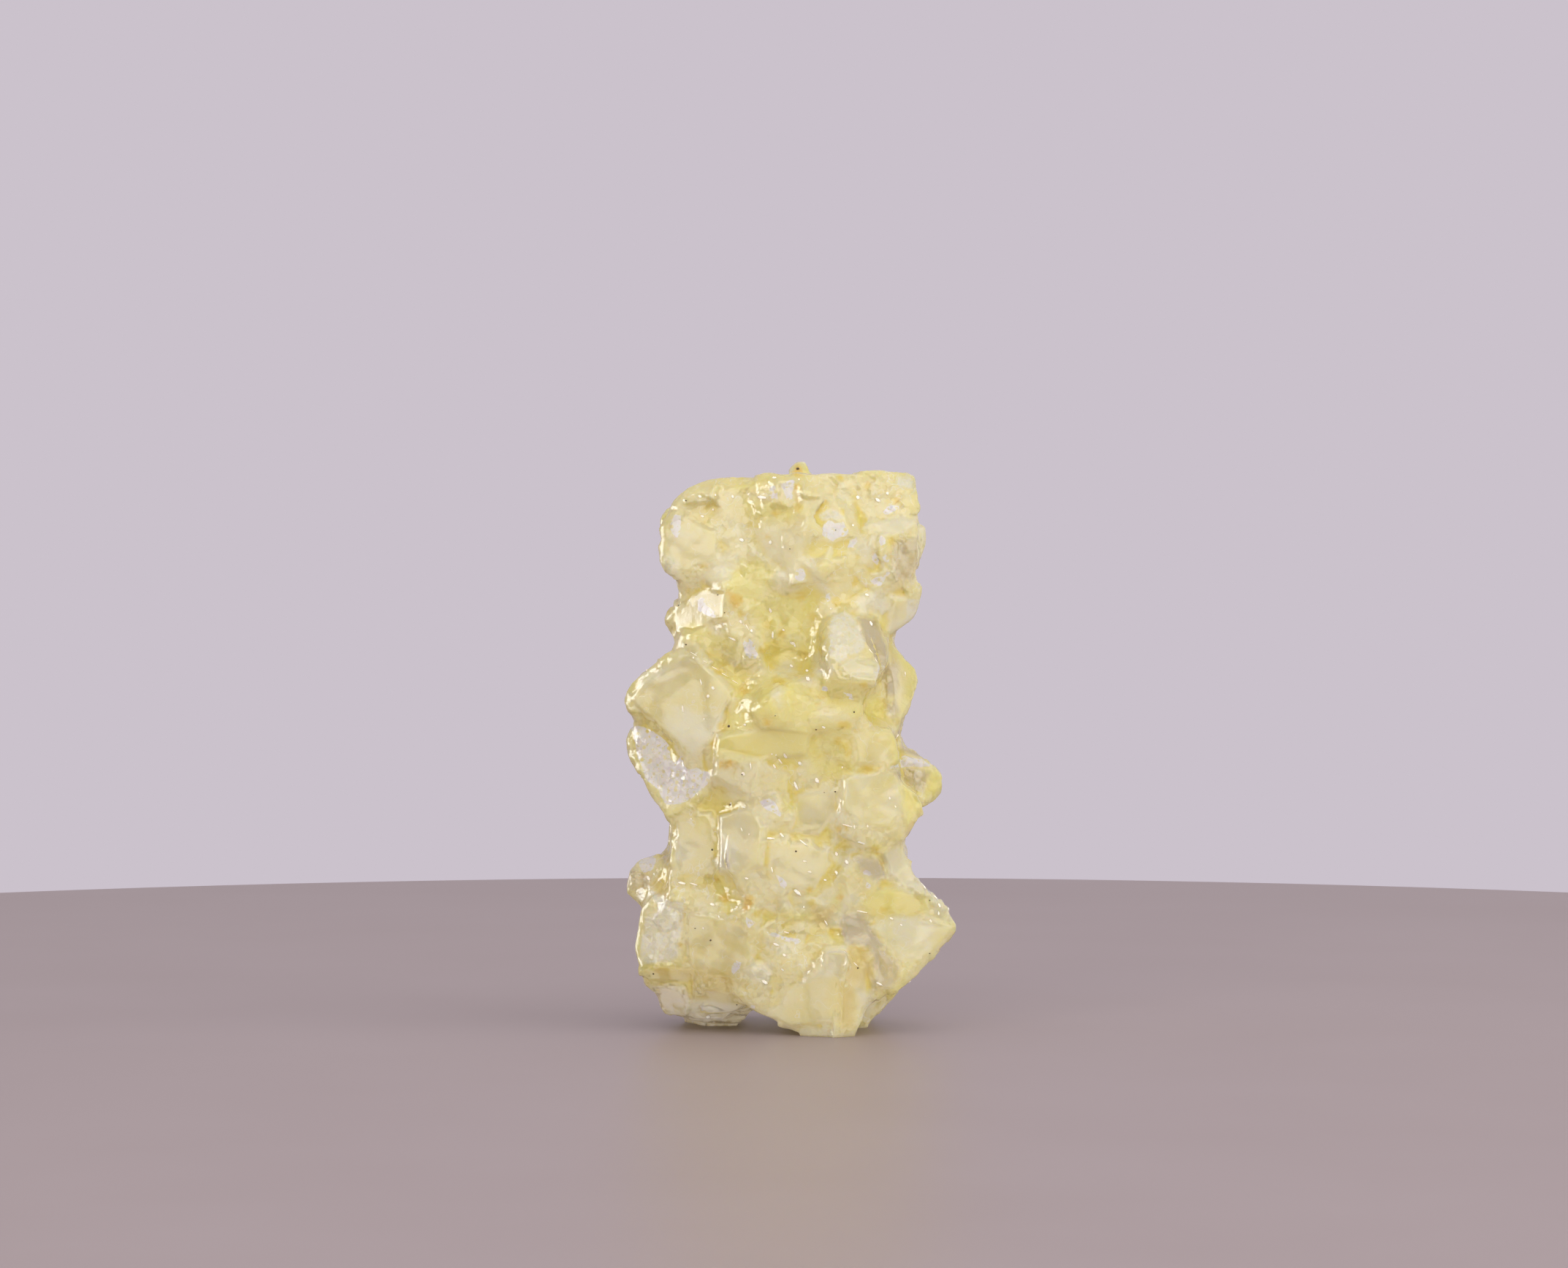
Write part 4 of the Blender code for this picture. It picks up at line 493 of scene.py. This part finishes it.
def chipped_body(node):
    """The solid, its filled gaps and many small crystals on it, as one fine skin."""
    body = filled_body(node)
    co, no, _ = mesh_arrays(body)
    rng = random.Random(21)
    chips = chip_places(co, no, rng)
    bm = bmesh.new()
    meshes = [body, solid_copy(node)]
    for start in range(0, len(chips), CHIPS_AT_ONCE):
        meshes.append(chip_batch(chips[start : start + CHIPS_AT_ONCE], rng))
    for mesh in meshes:
        bm.from_mesh(mesh)
        bpy.data.meshes.remove(mesh)
    return one_skin(mesh_from(bm, "chipped", outwards=False), FINE)


def facet_heights(co, no, gap, tilt, depth, seed):
    """Heights that turn the surface into flat facets: each point goes down to its three nearest facets' planes."""
    rng = random.Random(seed)
    picked = spread(co, gap, rng, tries=60000)
    tree = KDTree(len(picked))
    for number, index in enumerate(picked):
        tree.insert(co[index], number)
    tree.balance()
    lean = np.array([[rng.gauss(0, tilt) for _ in range(3)] for _ in picked])
    planes = no[picked] + lean
    planes /= np.linalg.norm(planes, axis=1)[:, None]
    lift = np.array([rng.uniform(-0.3, 0.6) for _ in picked]) * depth
    near = np.array([[found[1] for found in tree.find_n(point, 3)] for point in co])
    heights = np.full(len(co), 1.0)
    for column in near.T:
        slope = np.maximum(0.35, (no * planes[column]).sum(axis=1))
        height = lift[column] - ((co - co[picked][column]) * planes[column]).sum(axis=1) / slope
        heights = np.minimum(heights, height)
    return np.clip(heights, -depth, depth)


def front_places(co):
    """Where each point appears against the plane through the upright axis, in millimetres."""
    mm = co / MM
    scale = CAMERA_BACK / (CAMERA_BACK + mm[:, 1])
    x = (mm[:, 0] + CAMERA_LEFT) * scale - CAMERA_LEFT
    z = (mm[:, 2] - CAMERA_UP) * scale + CAMERA_UP
    return np.stack([x, z], -1)


def inside_by(points, outline):
    """How far each point is inside the outline, negative outside."""
    poly = np.array(outline)
    distance = np.full(len(points), 1e9)
    inside = np.zeros(len(points), bool)
    for (ax, az), (bx, bz) in zip(poly, np.roll(poly, -1, axis=0)):
        edge = np.array([bx - ax, bz - az])
        rel = points - [ax, az]
        along = np.clip(rel @ edge / (edge @ edge), 0, 1)
        distance = np.minimum(distance, np.linalg.norm(rel - along[:, None] * edge, axis=1))
        crosses = (az > points[:, 1]) != (bz > points[:, 1])
        with np.errstate(divide="ignore", invalid="ignore"):
            where = ax + (points[:, 1] - az) * (bx - ax) / (bz - az)
        inside ^= crosses & (points[:, 0] < where)
    return np.where(inside, distance, -distance)


def deepest(points, outlines):
    """How far each point is inside the nearest of the outlines, in millimetres; FAR_OUTSIDE well away from them all."""
    best = np.full(len(points), FAR_OUTSIDE)
    for outline in outlines:
        low, high = np.min(outline, axis=0) - 2.0, np.max(outline, axis=0) + 2.0
        near = np.flatnonzero(((points > low) & (points < high)).all(axis=1))
        best[near] = np.maximum(best[near], inside_by(points[near], outline))
    return best


def smoothed(values, edges, rounds):
    """Places or plain values after so many rounds of moving each halfway to its neighbours' mean."""
    if values.ndim == 1:
        return smoothed(values[:, None], edges, rounds)[:, 0]
    count = np.bincount(edges.ravel(), minlength=len(values)).astype(float)[:, None]
    ends = np.concatenate([edges, edges[:, ::-1]])
    for _ in range(rounds):
        total = [np.bincount(ends[:, 0], column[ends[:, 1]], len(values)) for column in values.T]
        values = (values + np.stack(total, -1) / count) / 2
    return values


def skin_tree(mesh):
    """The mesh ready to be hit by rays."""
    return BVHTree.FromPolygons([v.co for v in mesh.vertices], [p.vertices for p in mesh.polygons])


def hit_from_front(tree, spot):
    """Where the camera sees this spot on the surface, given in millimetres, and the normal there."""
    return tree.ray_cast(EYE, (spot * MM - EYE).normalized())[:2]


def seen_from_front(mesh, co, no):
    """One where the camera in front sees the point, zero where something hides it or it looks away."""
    tree = skin_tree(mesh)
    ways = np.array(EYE) - co
    ways /= np.linalg.norm(ways, axis=1)[:, None]
    starts = co + ways * 0.3 * MM
    seen = (ways * no).sum(axis=1) > 0
    for index in np.flatnonzero(seen):
        seen[index] = tree.ray_cast(starts[index], ways[index])[0] is None
    return seen.astype(float)


def lay_flat(co, no, inside, well_seen):
    """Moves the points of one facet onto a plane through their middle."""
    chosen = (inside > 0) & (well_seen > 0)
    if chosen.sum() < 6:
        return
    middle = co[chosen].mean(axis=0)
    normal = no[chosen].mean(axis=0)
    normal /= np.linalg.norm(normal)
    off = (co[chosen] - middle) @ normal
    weight = np.clip(inside[chosen] / FACET_RIM, 0, 1) * well_seen[chosen]
    weight *= np.clip((no[chosen] @ normal - 0.6) / 0.25, 0, 1)
    shift = np.clip(-off * weight, -MOST_FLATTENING, MOST_FLATTENING)
    co[chosen] += shift[:, None] * normal


def store(mesh, name, values):
    """One value per point, kept as an attribute for the finish."""
    layer = mesh.attributes.new(name, "FLOAT", "POINT")
    layer.data.foreach_set("value", values.astype(np.float32))


def grown_surface(node):
    """The fine, facetted crystal surface with its masks as attributes."""
    mesh = chipped_body(node)
    co, _, edges = mesh_arrays(mesh)
    resting = co[:, 2] < RESTING_HEIGHT
    co = smoothed(co, edges, rounds=2)
    seen = seen_from_front(mesh, co, normals_of(mesh, co))
    front = front_places(co)
    blend = np.clip(deepest(front, BLENDED_AREAS) / 1.2 + 0.3, 0, 1) * smoothed(seen, edges, rounds=4)
    co += (smoothed(co, edges, rounds=24) - co) * blend[:, None]
    flat = np.clip(deepest(front, FACES) / 0.8 + 0.4, 0, 1) * seen
    crumbly = np.clip(deepest(front, CRUMBLY_AREAS) + 0.5, 0, 1) * seen
    room = np.clip(np.minimum(co - low_corner, high_corner - co).min(axis=1) / SIDE_ROOM - 0.2, 0, 1)
    for gap, lean, depth, seed, calm, lively in FACET_ROUNDS:
        even = normals_of(mesh, smoothed(co, edges, rounds=12))
        heights = facet_heights(co, even, gap * MM, lean, depth * MM, seed) * room
        heights *= (1 - (1 - calm) * flat) * (0.5 + (lively - 0.5) * crumbly)
        heights[resting] = 0
        co = co + even * heights[:, None]
    even = normals_of(mesh, smoothed(co, edges, rounds=12))
    well_seen = np.clip((smoothed(seen, edges, rounds=8) - 0.7) / 0.25, 0, 1)
    for outline in FACES + PAINTED_GLINT_FACETS:
        lay_flat(co, even, inside_by(front, outline), well_seen)
    co = keep_in_box(smoothed(co, edges, rounds=1), resting)
    no = normals_of(mesh, co)
    values = {
        "edge": np.clip(-curvature(co, no, edges, rounds=10) / (0.08 * MM), -1, 1),
        "relief": np.clip(-curvature(co, no, edges, rounds=90) / (0.4 * MM), -1, 1),
        "front_side": smoothed(seen, edges, rounds=6),
    }
    hidden = (seen < 0.5) * FAR_OUTSIDE
    for name, outlines in AREA_MASKS.items():
        values[name] = deepest(front, outlines) + hidden
    for name, spots in SPOT_MASKS.items():
        inside = [radius - np.hypot(front[:, 0] - x, front[:, 1] - z) for x, z, radius in spots]
        values[name] = np.maximum(np.max(inside, axis=0), FAR_OUTSIDE) + hidden
    mesh = thinned(mesh, values)
    for polygon in mesh.polygons:
        polygon.use_smooth = True
    return mesh


def thinned(mesh, values):
    """The mesh with fewer triangles where it is flat, and the values carried over as attributes."""
    tree = KDTree(len(mesh.vertices))
    for vert in mesh.vertices:
        tree.insert(vert.co, vert.index)
    tree.balance()
    share = min(1.0, MOST_TRIANGLES / sum(len(polygon.vertices) - 2 for polygon in mesh.polygons))
    mesh = finished(mesh, "DECIMATE", ratio=share)
    nearest = [tree.find(vert.co)[1] for vert in mesh.vertices]
    for name, value in values.items():
        store(mesh, name, value[nearest])
    mesh.name = "crystal_surface"
    return mesh


def curvature(co, no, edges, rounds):
    """How far the smoothed surface lies outside each point: negative on edges, positive in crevices."""
    return ((smoothed(co, edges, rounds) - co) * no).sum(axis=1)


def keep_in_box(co, resting):
    """The points kept just inside the solid's box, with the resting ones on the table."""
    co = np.clip(co, low_corner + SAFE_EDGE, high_corner - SAFE_EDGE)
    co[resting & (co[:, 2] < RESTING_HEIGHT), 2] = low_corner[2]
    return co


def speck_mesh(surface):
    """Small dark crumbs, half sunk in the surface."""
    tree = skin_tree(surface)
    rng = random.Random(4)
    bm = bmesh.new()
    for x, z, radius in DARK_SPECKS:
        place = hit_from_front(tree, Vector((x, 0, z)))[0]
        if place is None:
            continue
        made = bmesh.ops.create_icosphere(bm, subdivisions=2, radius=radius * MM)
        for vert in made["verts"]:
            vert.co *= rng.uniform(0.8, 1.15)
        bmesh.ops.scale(bm, verts=made["verts"], vec=(1.0, 0.7, rng.uniform(0.6, 0.95)))
        bmesh.ops.translate(bm, verts=made["verts"], vec=place)
    return mesh_from(bm, "dark_specks")


def add_glint_flake(bm, place, normal, long_way, length, width, rng):
    """One thin, many-cornered plate lying in the surface."""
    made = bmesh.ops.create_cone(
        bm, cap_ends=True, cap_tris=False, segments=rng.choice((5, 6, 7)), radius1=0.5, radius2=0.36, depth=1.0
    )["verts"]
    thick = min(0.16, 0.45 * width)
    side = normal.cross(long_way).normalized()
    up = side.cross(normal).normalized()
    for vert in made:
        jitter = rng.uniform(0.82, 1.12)
        across = vert.co.x * width * jitter
        along = vert.co.y * length * jitter
        vert.co = place + (side * across + up * along + normal * (vert.co.z - 0.15) * thick) * MM


def glint_flake_mesh(surface):
    """Bright flakes, painted highlights that stand in for small glints: those seen on the front, and a thin scatter
    over the other sides.
    """
    tree = skin_tree(surface)
    rng = random.Random(6)
    bm = bmesh.new()
    for x, z, length, width, lean in GLINT_FLAKES:
        steps = max(1, round(length / GLINT_FLAKE_STEP))
        way = Vector((-math.sin(math.radians(lean)), 0, math.cos(math.radians(lean))))
        for step in range(steps):
            shift = ((step + 0.5) / steps - 0.5) * length
            place, normal = hit_from_front(tree, Vector((x, 0, z)) + way * shift)
            if place is not None:
                facing = (normal * 0.7 + GLINT_WAY * 0.3).normalized()
                add_glint_flake(bm, place, facing, way, length / steps * 1.05, width, rng)
    co, no, _ = mesh_arrays(surface)
    for index in spread(co, GLINT_FLAKE_GAP * MM, rng, tries=6000):
        place, normal = Vector(co[index]), Vector(no[index])
        if normal.y < -0.25 or place.z < 2 * MM or rng.random() < BARE_SHARE:
            continue
        way = Vector((rng.gauss(0, 1), rng.gauss(0, 1), rng.gauss(0, 1)))
        add_glint_flake(bm, place, normal, way, rng.uniform(0.4, 1.6), rng.uniform(0.25, 0.6), rng)
    for vert in bm.verts:
        vert.co = Vector(min(max(part, low), high) for part, low, high in zip(vert.co, *cad_box))
    return mesh_from(bm, "painted_glint_flakes")


class Nodes:
    """Short calls to make and join shader nodes. Any value may be another node's output."""

    def __init__(self, tree):
        self.tree = tree

    def add(self, kind, inputs, **settings):
        node = self.tree.nodes.new(kind)
        for name, value in settings.items():
            setattr(node, name, value)
        for name, value in inputs.items():
            if isinstance(value, bpy.types.NodeSocket):
                self.tree.links.new(value, node.inputs[name])
            else:
                node.inputs[name].default_value = value
        return node.outputs

    def attribute(self, name):
        return self.add("ShaderNodeAttribute", {}, attribute_name=name)["Fac"]

    def math(self, operation, first, second=0.0):
        return self.add("ShaderNodeMath", {0: first, 1: second}, operation=operation)[0]

    def times(self, first, second):
        return self.math("MULTIPLY", first, second)

    def plus(self, first, second):
        return self.math("ADD", first, second)

    def minus(self, first, second):
        return self.math("SUBTRACT", first, second)

    def steps(self, value, low, high, out_low=0.0, out_high=1.0):
        """The value as it goes from low to high, eased at both ends."""
        inputs = {"Value": value, "From Min": low, "From Max": high, "To Min": out_low, "To Max": out_high}
        return self.add("ShaderNodeMapRange", inputs, interpolation_type="SMOOTHSTEP")["Result"]

    def mix(self, factor, first, second):
        return self.add("ShaderNodeMix", {"Factor": factor, "A": first, "B": second}, data_type="RGBA")["Result"]

    def noise(self, place, size, detail=2.0, roughness=0.5):
        """Noise whose patches are about this many millimetres."""
        inputs = {"Vector": place, "Scale": 1 / (size * MM), "Detail": detail, "Roughness": roughness}
        return self.add("ShaderNodeTexNoise", inputs)["Fac"]

    def cells(self, place, size):
        """Cells of about this many millimetres."""
        return self.add("ShaderNodeTexVoronoi", {"Vector": place, "Scale": 1 / (size * MM)})

    def chips(self, place, size):
        """Heights of small flat chips, each leaning its own way."""

        def vectors(operation, first, second):
            return self.add("ShaderNodeVectorMath", {0: first, 1: second}, operation=operation)

        cells = self.cells(place, size)
        away = vectors("SUBTRACT", place, cells["Position"])["Vector"]
        lean = vectors("SUBTRACT", cells["Color"], (0.5, 0.5, 0.5))["Vector"]
        return self.math("DIVIDE", vectors("DOT_PRODUCT", away, lean)["Value"], size * MM)

    def grit(self, place, size, least, most):
        """The shared fine grit: its pattern and the roughness it gives."""
        tree = bpy.data.node_groups.get("fine_grit") or grit_group()
        inputs = {"Place": place, "Grain": 1 / (size * MM), "Least": least, "Most": most}
        made = self.add("ShaderNodeGroup", inputs, node_tree=tree)
        return made["Grit"], made["Roughness"]

    def principled(self, inputs):
        return self.add("ShaderNodeBsdfPrincipled", inputs)["BSDF"]

    def either(self, factor, first, second):
        """The first shader where the factor is 0, the second where it is 1."""
        return self.add("ShaderNodeMixShader", {0: factor, 1: first, 2: second})["Shader"]

    def show(self, **shaders):
        self.add("ShaderNodeOutputMaterial", shaders)


def new_material(name):
    """An empty material, its nodes and the object coordinates."""
    material = bpy.data.materials.new(name)
    material.use_nodes = True
    material.node_tree.nodes.clear()
    n = Nodes(material.node_tree)
    return material, n, n.add("ShaderNodeTexCoord", {})["Object"]


def rgb(red, green, blue):
    """A colour given in screen values from 0 to 255."""
    return (*(((part / 255 + 0.055) / 1.055) ** 2.4 if part > 10 else part / 3294 for part in (red, green, blue)), 1.0)


def grit_group():
    """The fine grit that every finish of the cluster shares: its pattern and how rough it makes the surface."""
    tree = bpy.data.node_groups.new("fine_grit", "ShaderNodeTree")
    tree.interface.new_socket("Place", in_out="INPUT", socket_type="NodeSocketVector")
    for name in ("Grain", "Least", "Most"):
        tree.interface.new_socket(name, in_out="INPUT", socket_type="NodeSocketFloat")
    for name in ("Grit", "Roughness"):
        tree.interface.new_socket(name, in_out="OUTPUT", socket_type="NodeSocketFloat")
    n = Nodes(tree)
    given = n.add("NodeGroupInput", {})
    inputs = {"Vector": given["Place"], "Scale": given["Grain"], "Detail": 4.0, "Roughness": 0.6}
    grain = n.add("ShaderNodeTexNoise", inputs)["Fac"]
    reach = n.minus(given["Most"], given["Least"])
    rough = n.plus(given["Least"], n.times(n.steps(grain, 0.3, 0.7), reach))
    n.add("NodeGroupOutput", {"Grit": grain, "Roughness": rough})
    return tree


def clear_shader(n, colour, rough, normal, cloudiness):
    """Clear crystal, milky by the cloudiness given."""
    return n.principled({
        "Base Color": colour,
        "Roughness": rough,
        "Normal": normal,
        "Transmission Weight": 1.0 - 0.45 * cloudiness,
        "IOR": CRYSTAL_IOR,
        "Specular IOR Level": 0.3,
        "Subsurface Weight": 1.0,
        "Subsurface Radius": (1.0, 0.85, 0.5),
        "Subsurface Scale": 2.2 * MM,
    })


def crystal_material():
    """Milky to clear yellow crystal: glass from inside, tinted by depth, with the colours of its areas and spots,
    painted highlights on its glinting facets and painted shade on its shaded faces and crevices.
    """
    material, n, place = new_material("yellow_crystal")
    patches = n.noise(place, 7.0, 3.0)
    tones = n.noise(place, 5.0, 2.0)
    cloud = n.noise(place, 2.2, 4.0, 0.6)
    grit, rough = n.grit(place, 0.45, 0.045, 0.07)
    edge = n.attribute("edge")
    relief = n.attribute("relief")
    far_side = n.minus(1.0, n.attribute("front_side"))
    wobble = n.times(n.minus(cloud, 0.5), 1.6)

    def mask(name, blur, shake, strength=1.0):
        """Where an area is, its rim blurred and shaken by so many millimetres."""
        return n.steps(n.plus(n.attribute(name), n.times(wobble, shake)), -blur, blur, 0.0, strength)

    def far(low, high, strength):
        """Patches on the sides that the front doesn't show."""
        return n.times(far_side, n.steps(tones, low, high, 0.0, strength))

    veins = n.math("ABSOLUTE", n.minus(n.noise(place, 2.6, 2.0, 0.6), 0.5))
    veins = n.times(n.steps(veins, 0.012, 0.003, 0.0, 0.5), n.steps(patches, 0.45, 0.6))
    pits = n.steps(n.cells(place, 1.1)["Distance"], 0.14, 0.30)
    # Painted highlight: the glinting facets are painted near white, broken by small pits and grit.
    white = n.times(n.times(mask("glint_white_in", 0.08, 0.3), pits), n.steps(grit, 0.36, 0.44))
    frost = n.times(mask("frost_in", 0.25, 0.3), n.steps(grit, 0.30, 0.55, 0.45, 1.0))
    colour = n.mix(n.steps(patches, 0.35, 0.65), rgb(250, 240, 190), rgb(249, 236, 168))
    for amount, tint in (
        (n.steps(cloud, 0.45, 0.75, 0.0, 0.35), (251, 246, 214)),
        (n.steps(edge, 0.1, 0.9, 0.0, 0.3), (248, 236, 158)),
        # Painted shade: crevices get a deeper, darker yellow, standing in for the shade and the glow that gather there.
        (n.steps(relief, -0.05, -0.7, 0.0, 0.85), (250, 230, 104)),
        (veins, (254, 250, 232)),
        (far(0.52, 0.68, 0.6), (247, 230, 118)),
        (far(0.46, 0.32, 0.5), (251, 248, 224)),
        (mask("yellow_in", 0.8, 0.8, 0.6), (255, 238, 130)),
        # Painted shade: shaded faces and crevices get a darker, brownish yellow.
        (mask("shade_tan_in", 0.6, 0.6, 0.6), (226, 208, 118)),
        (mask("pale_in", 0.7, 0.9, 0.5), (251, 248, 224)),
        (mask("yellow_spot_in", 0.3, 0.3, 0.7), (240, 218, 92)),
        (mask("orange_spot_in", 0.4, 1.0, 0.7), (246, 206, 72)),
        (n.times(frost, 0.7), (250, 249, 230)),
        # Painted highlight: the near-white colour of the glinting facets.
        (white, (255, 254, 238)),
    ):
        colour = n.mix(amount, colour, rgb(*tint))

    broken = n.steps(n.attribute("flat_in"), 0.3, -0.4, 0.08, 1.0)
    chips = n.times(n.plus(n.chips(place, 1.3), n.times(n.chips(place, 0.6), 0.4)), broken)
    fine = n.plus(n.times(grit, 0.12), n.times(cloud, 0.18))
    bump = {"Height": n.plus(n.times(chips, 2.0), fine), "Strength": 1.0, "Distance": 0.15 * MM}
    normal = n.add("ShaderNodeBump", bump)["Normal"]

    milky = clear_shader(n, colour, rough, normal, 1.0)
    glassy = clear_shader(n, n.mix(0.6, colour, rgb(252, 248, 236)), rough, normal, 0.2)
    outside = n.either(mask("clear_in", 0.5, 0.6, 0.6), milky, glassy)
    within = n.add("ShaderNodeBsdfGlass", {"IOR": CRYSTAL_IOR, "Roughness": 0.06})["BSDF"]
    backs = n.add("ShaderNodeNewGeometry", {})["Backfacing"]
    depth = n.add("ShaderNodeVolumeAbsorption", {"Color": rgb(250, 240, 190), "Density": 30.0})["Volume"]
    n.show(Surface=n.either(backs, outside, within), Volume=depth)
    return material


def glint_flake_material():
    """Nearly white flakes: painted highlights that stand in for glints."""
    material, n, place = new_material("painted_glint_flake")
    tone = n.mix(n.steps(n.noise(place, 1.6), 0.4, 0.6), rgb(255, 246, 224), rgb(255, 252, 234))
    rough = n.grit(place, 0.3, 0.15, 0.4)[1]
    look = {"Base Color": tone, "Roughness": rough, "Transmission Weight": 0.15, "IOR": CRYSTAL_IOR}
    n.show(Surface=n.principled(look))
    return material


def speck_material():
    """Dull dark crumbs."""
    material, n, place = new_material("dark_crumb")
    tone = n.mix(n.noise(place, 0.1), rgb(48, 38, 30), rgb(96, 76, 50))
    n.show(Surface=n.principled({"Base Color": tone, "Roughness": n.grit(place, 0.08, 0.5, 0.9)[1]}))
    return material


def floor_material():
    """The plain, faintly clouded table."""
    material, n, place = new_material("table_top")
    tone = n.mix(n.noise(place, 40.0, 3.0), rgb(146, 133, 131), rgb(140, 126, 123))
    n.show(Surface=n.principled({"Base Color": tone, "Roughness": 0.42}))
    return material


def add_floor():
    bm = bmesh.new()
    bmesh.ops.create_circle(bm, cap_ends=True, segments=128, radius=TABLE_RADIUS)
    bmesh.ops.translate(bm, verts=bm.verts, vec=(0, 0, -0.02 * MM))
    floor = placed("table_top", mesh_from(bm, "table_top", outwards=False))
    floor.data.materials.append(floor_material())


def add_camera():
    camera = bpy.data.cameras.new("front_camera")
    camera.lens = CAMERA_LENS
    camera.sensor_width = 36.0
    camera.clip_start = 0.01
    camera.clip_end = 20.0
    seat = placed("front_camera", camera)
    seat.location = (-CAMERA_LEFT * MM, -CAMERA_BACK * MM, CAMERA_UP * MM)
    seat.rotation_euler = (math.radians(90 - CAMERA_DOWN), 0, 0)
    bpy.context.scene.camera = seat


def add_softbox(name, place, width, watts, glints):
    """A square soft light aimed at the middle of the cluster."""
    light = bpy.data.lights.new(name, "AREA")
    light.shape = "SQUARE"
    light.size = width
    light.energy = watts
    stand = placed(name, light)
    stand.location = place
    stand.rotation_euler = (Vector(place) - LIGHTS_AIM).to_track_quat("Z", "Y").to_euler()
    stand.visible_transmission = False
    stand.visible_glossy = glints
    return stand


def add_room(glinting):
    world = bpy.data.worlds.new("pale_room")
    bpy.context.scene.world = world
    world.use_nodes = True
    background = world.node_tree.nodes["Background"]
    background.inputs["Color"].default_value = rgb(203, 194, 204)
    background.inputs["Strength"].default_value = 1.0
    add_softbox("key", (-0.08, -0.88, 0.50), 1.0, 5.0, True)
    add_softbox("top", (0.10, -0.10, 0.90), 1.0, 3.2, False)
    add_softbox("glint", (-0.50, -0.62, 0.60), 0.12, 0.5, True)
    add_softbox("right", (0.75, -0.40, 0.35), 0.90, 4.8, False)
    window = add_softbox("window", (-0.72, 0.02, 0.13), 0.50, 7.5, True)
    window.visible_diffuse = False
    lit = bpy.data.collections.new("window_lights_these")
    for piece in glinting:
        lit.objects.link(piece)
    window.light_linking.receiver_collection = lit


def add_piece(name, mesh, material):
    """One piece of the cluster, worn by its solid."""
    piece = placed(name, mesh)
    piece.data.materials.append(material)
    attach(piece, "root")
    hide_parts("crystal_cluster")
    return piece


def add_cluster():
    surface = grown_surface(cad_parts["crystal_cluster"])
    crystals = add_piece("grown_crystals", surface, crystal_material())
    specks = add_piece("dark_specks", speck_mesh(surface), speck_material())
    # Painted highlights: near-white flakes that stand in for glints.
    flakes = add_piece("painted_glint_flakes", glint_flake_mesh(surface), glint_flake_material())
    return [crystals, specks, flakes]


bpy.context.scene.view_settings.view_transform = "Standard"
add_camera()
add_floor()
add_room(add_cluster())
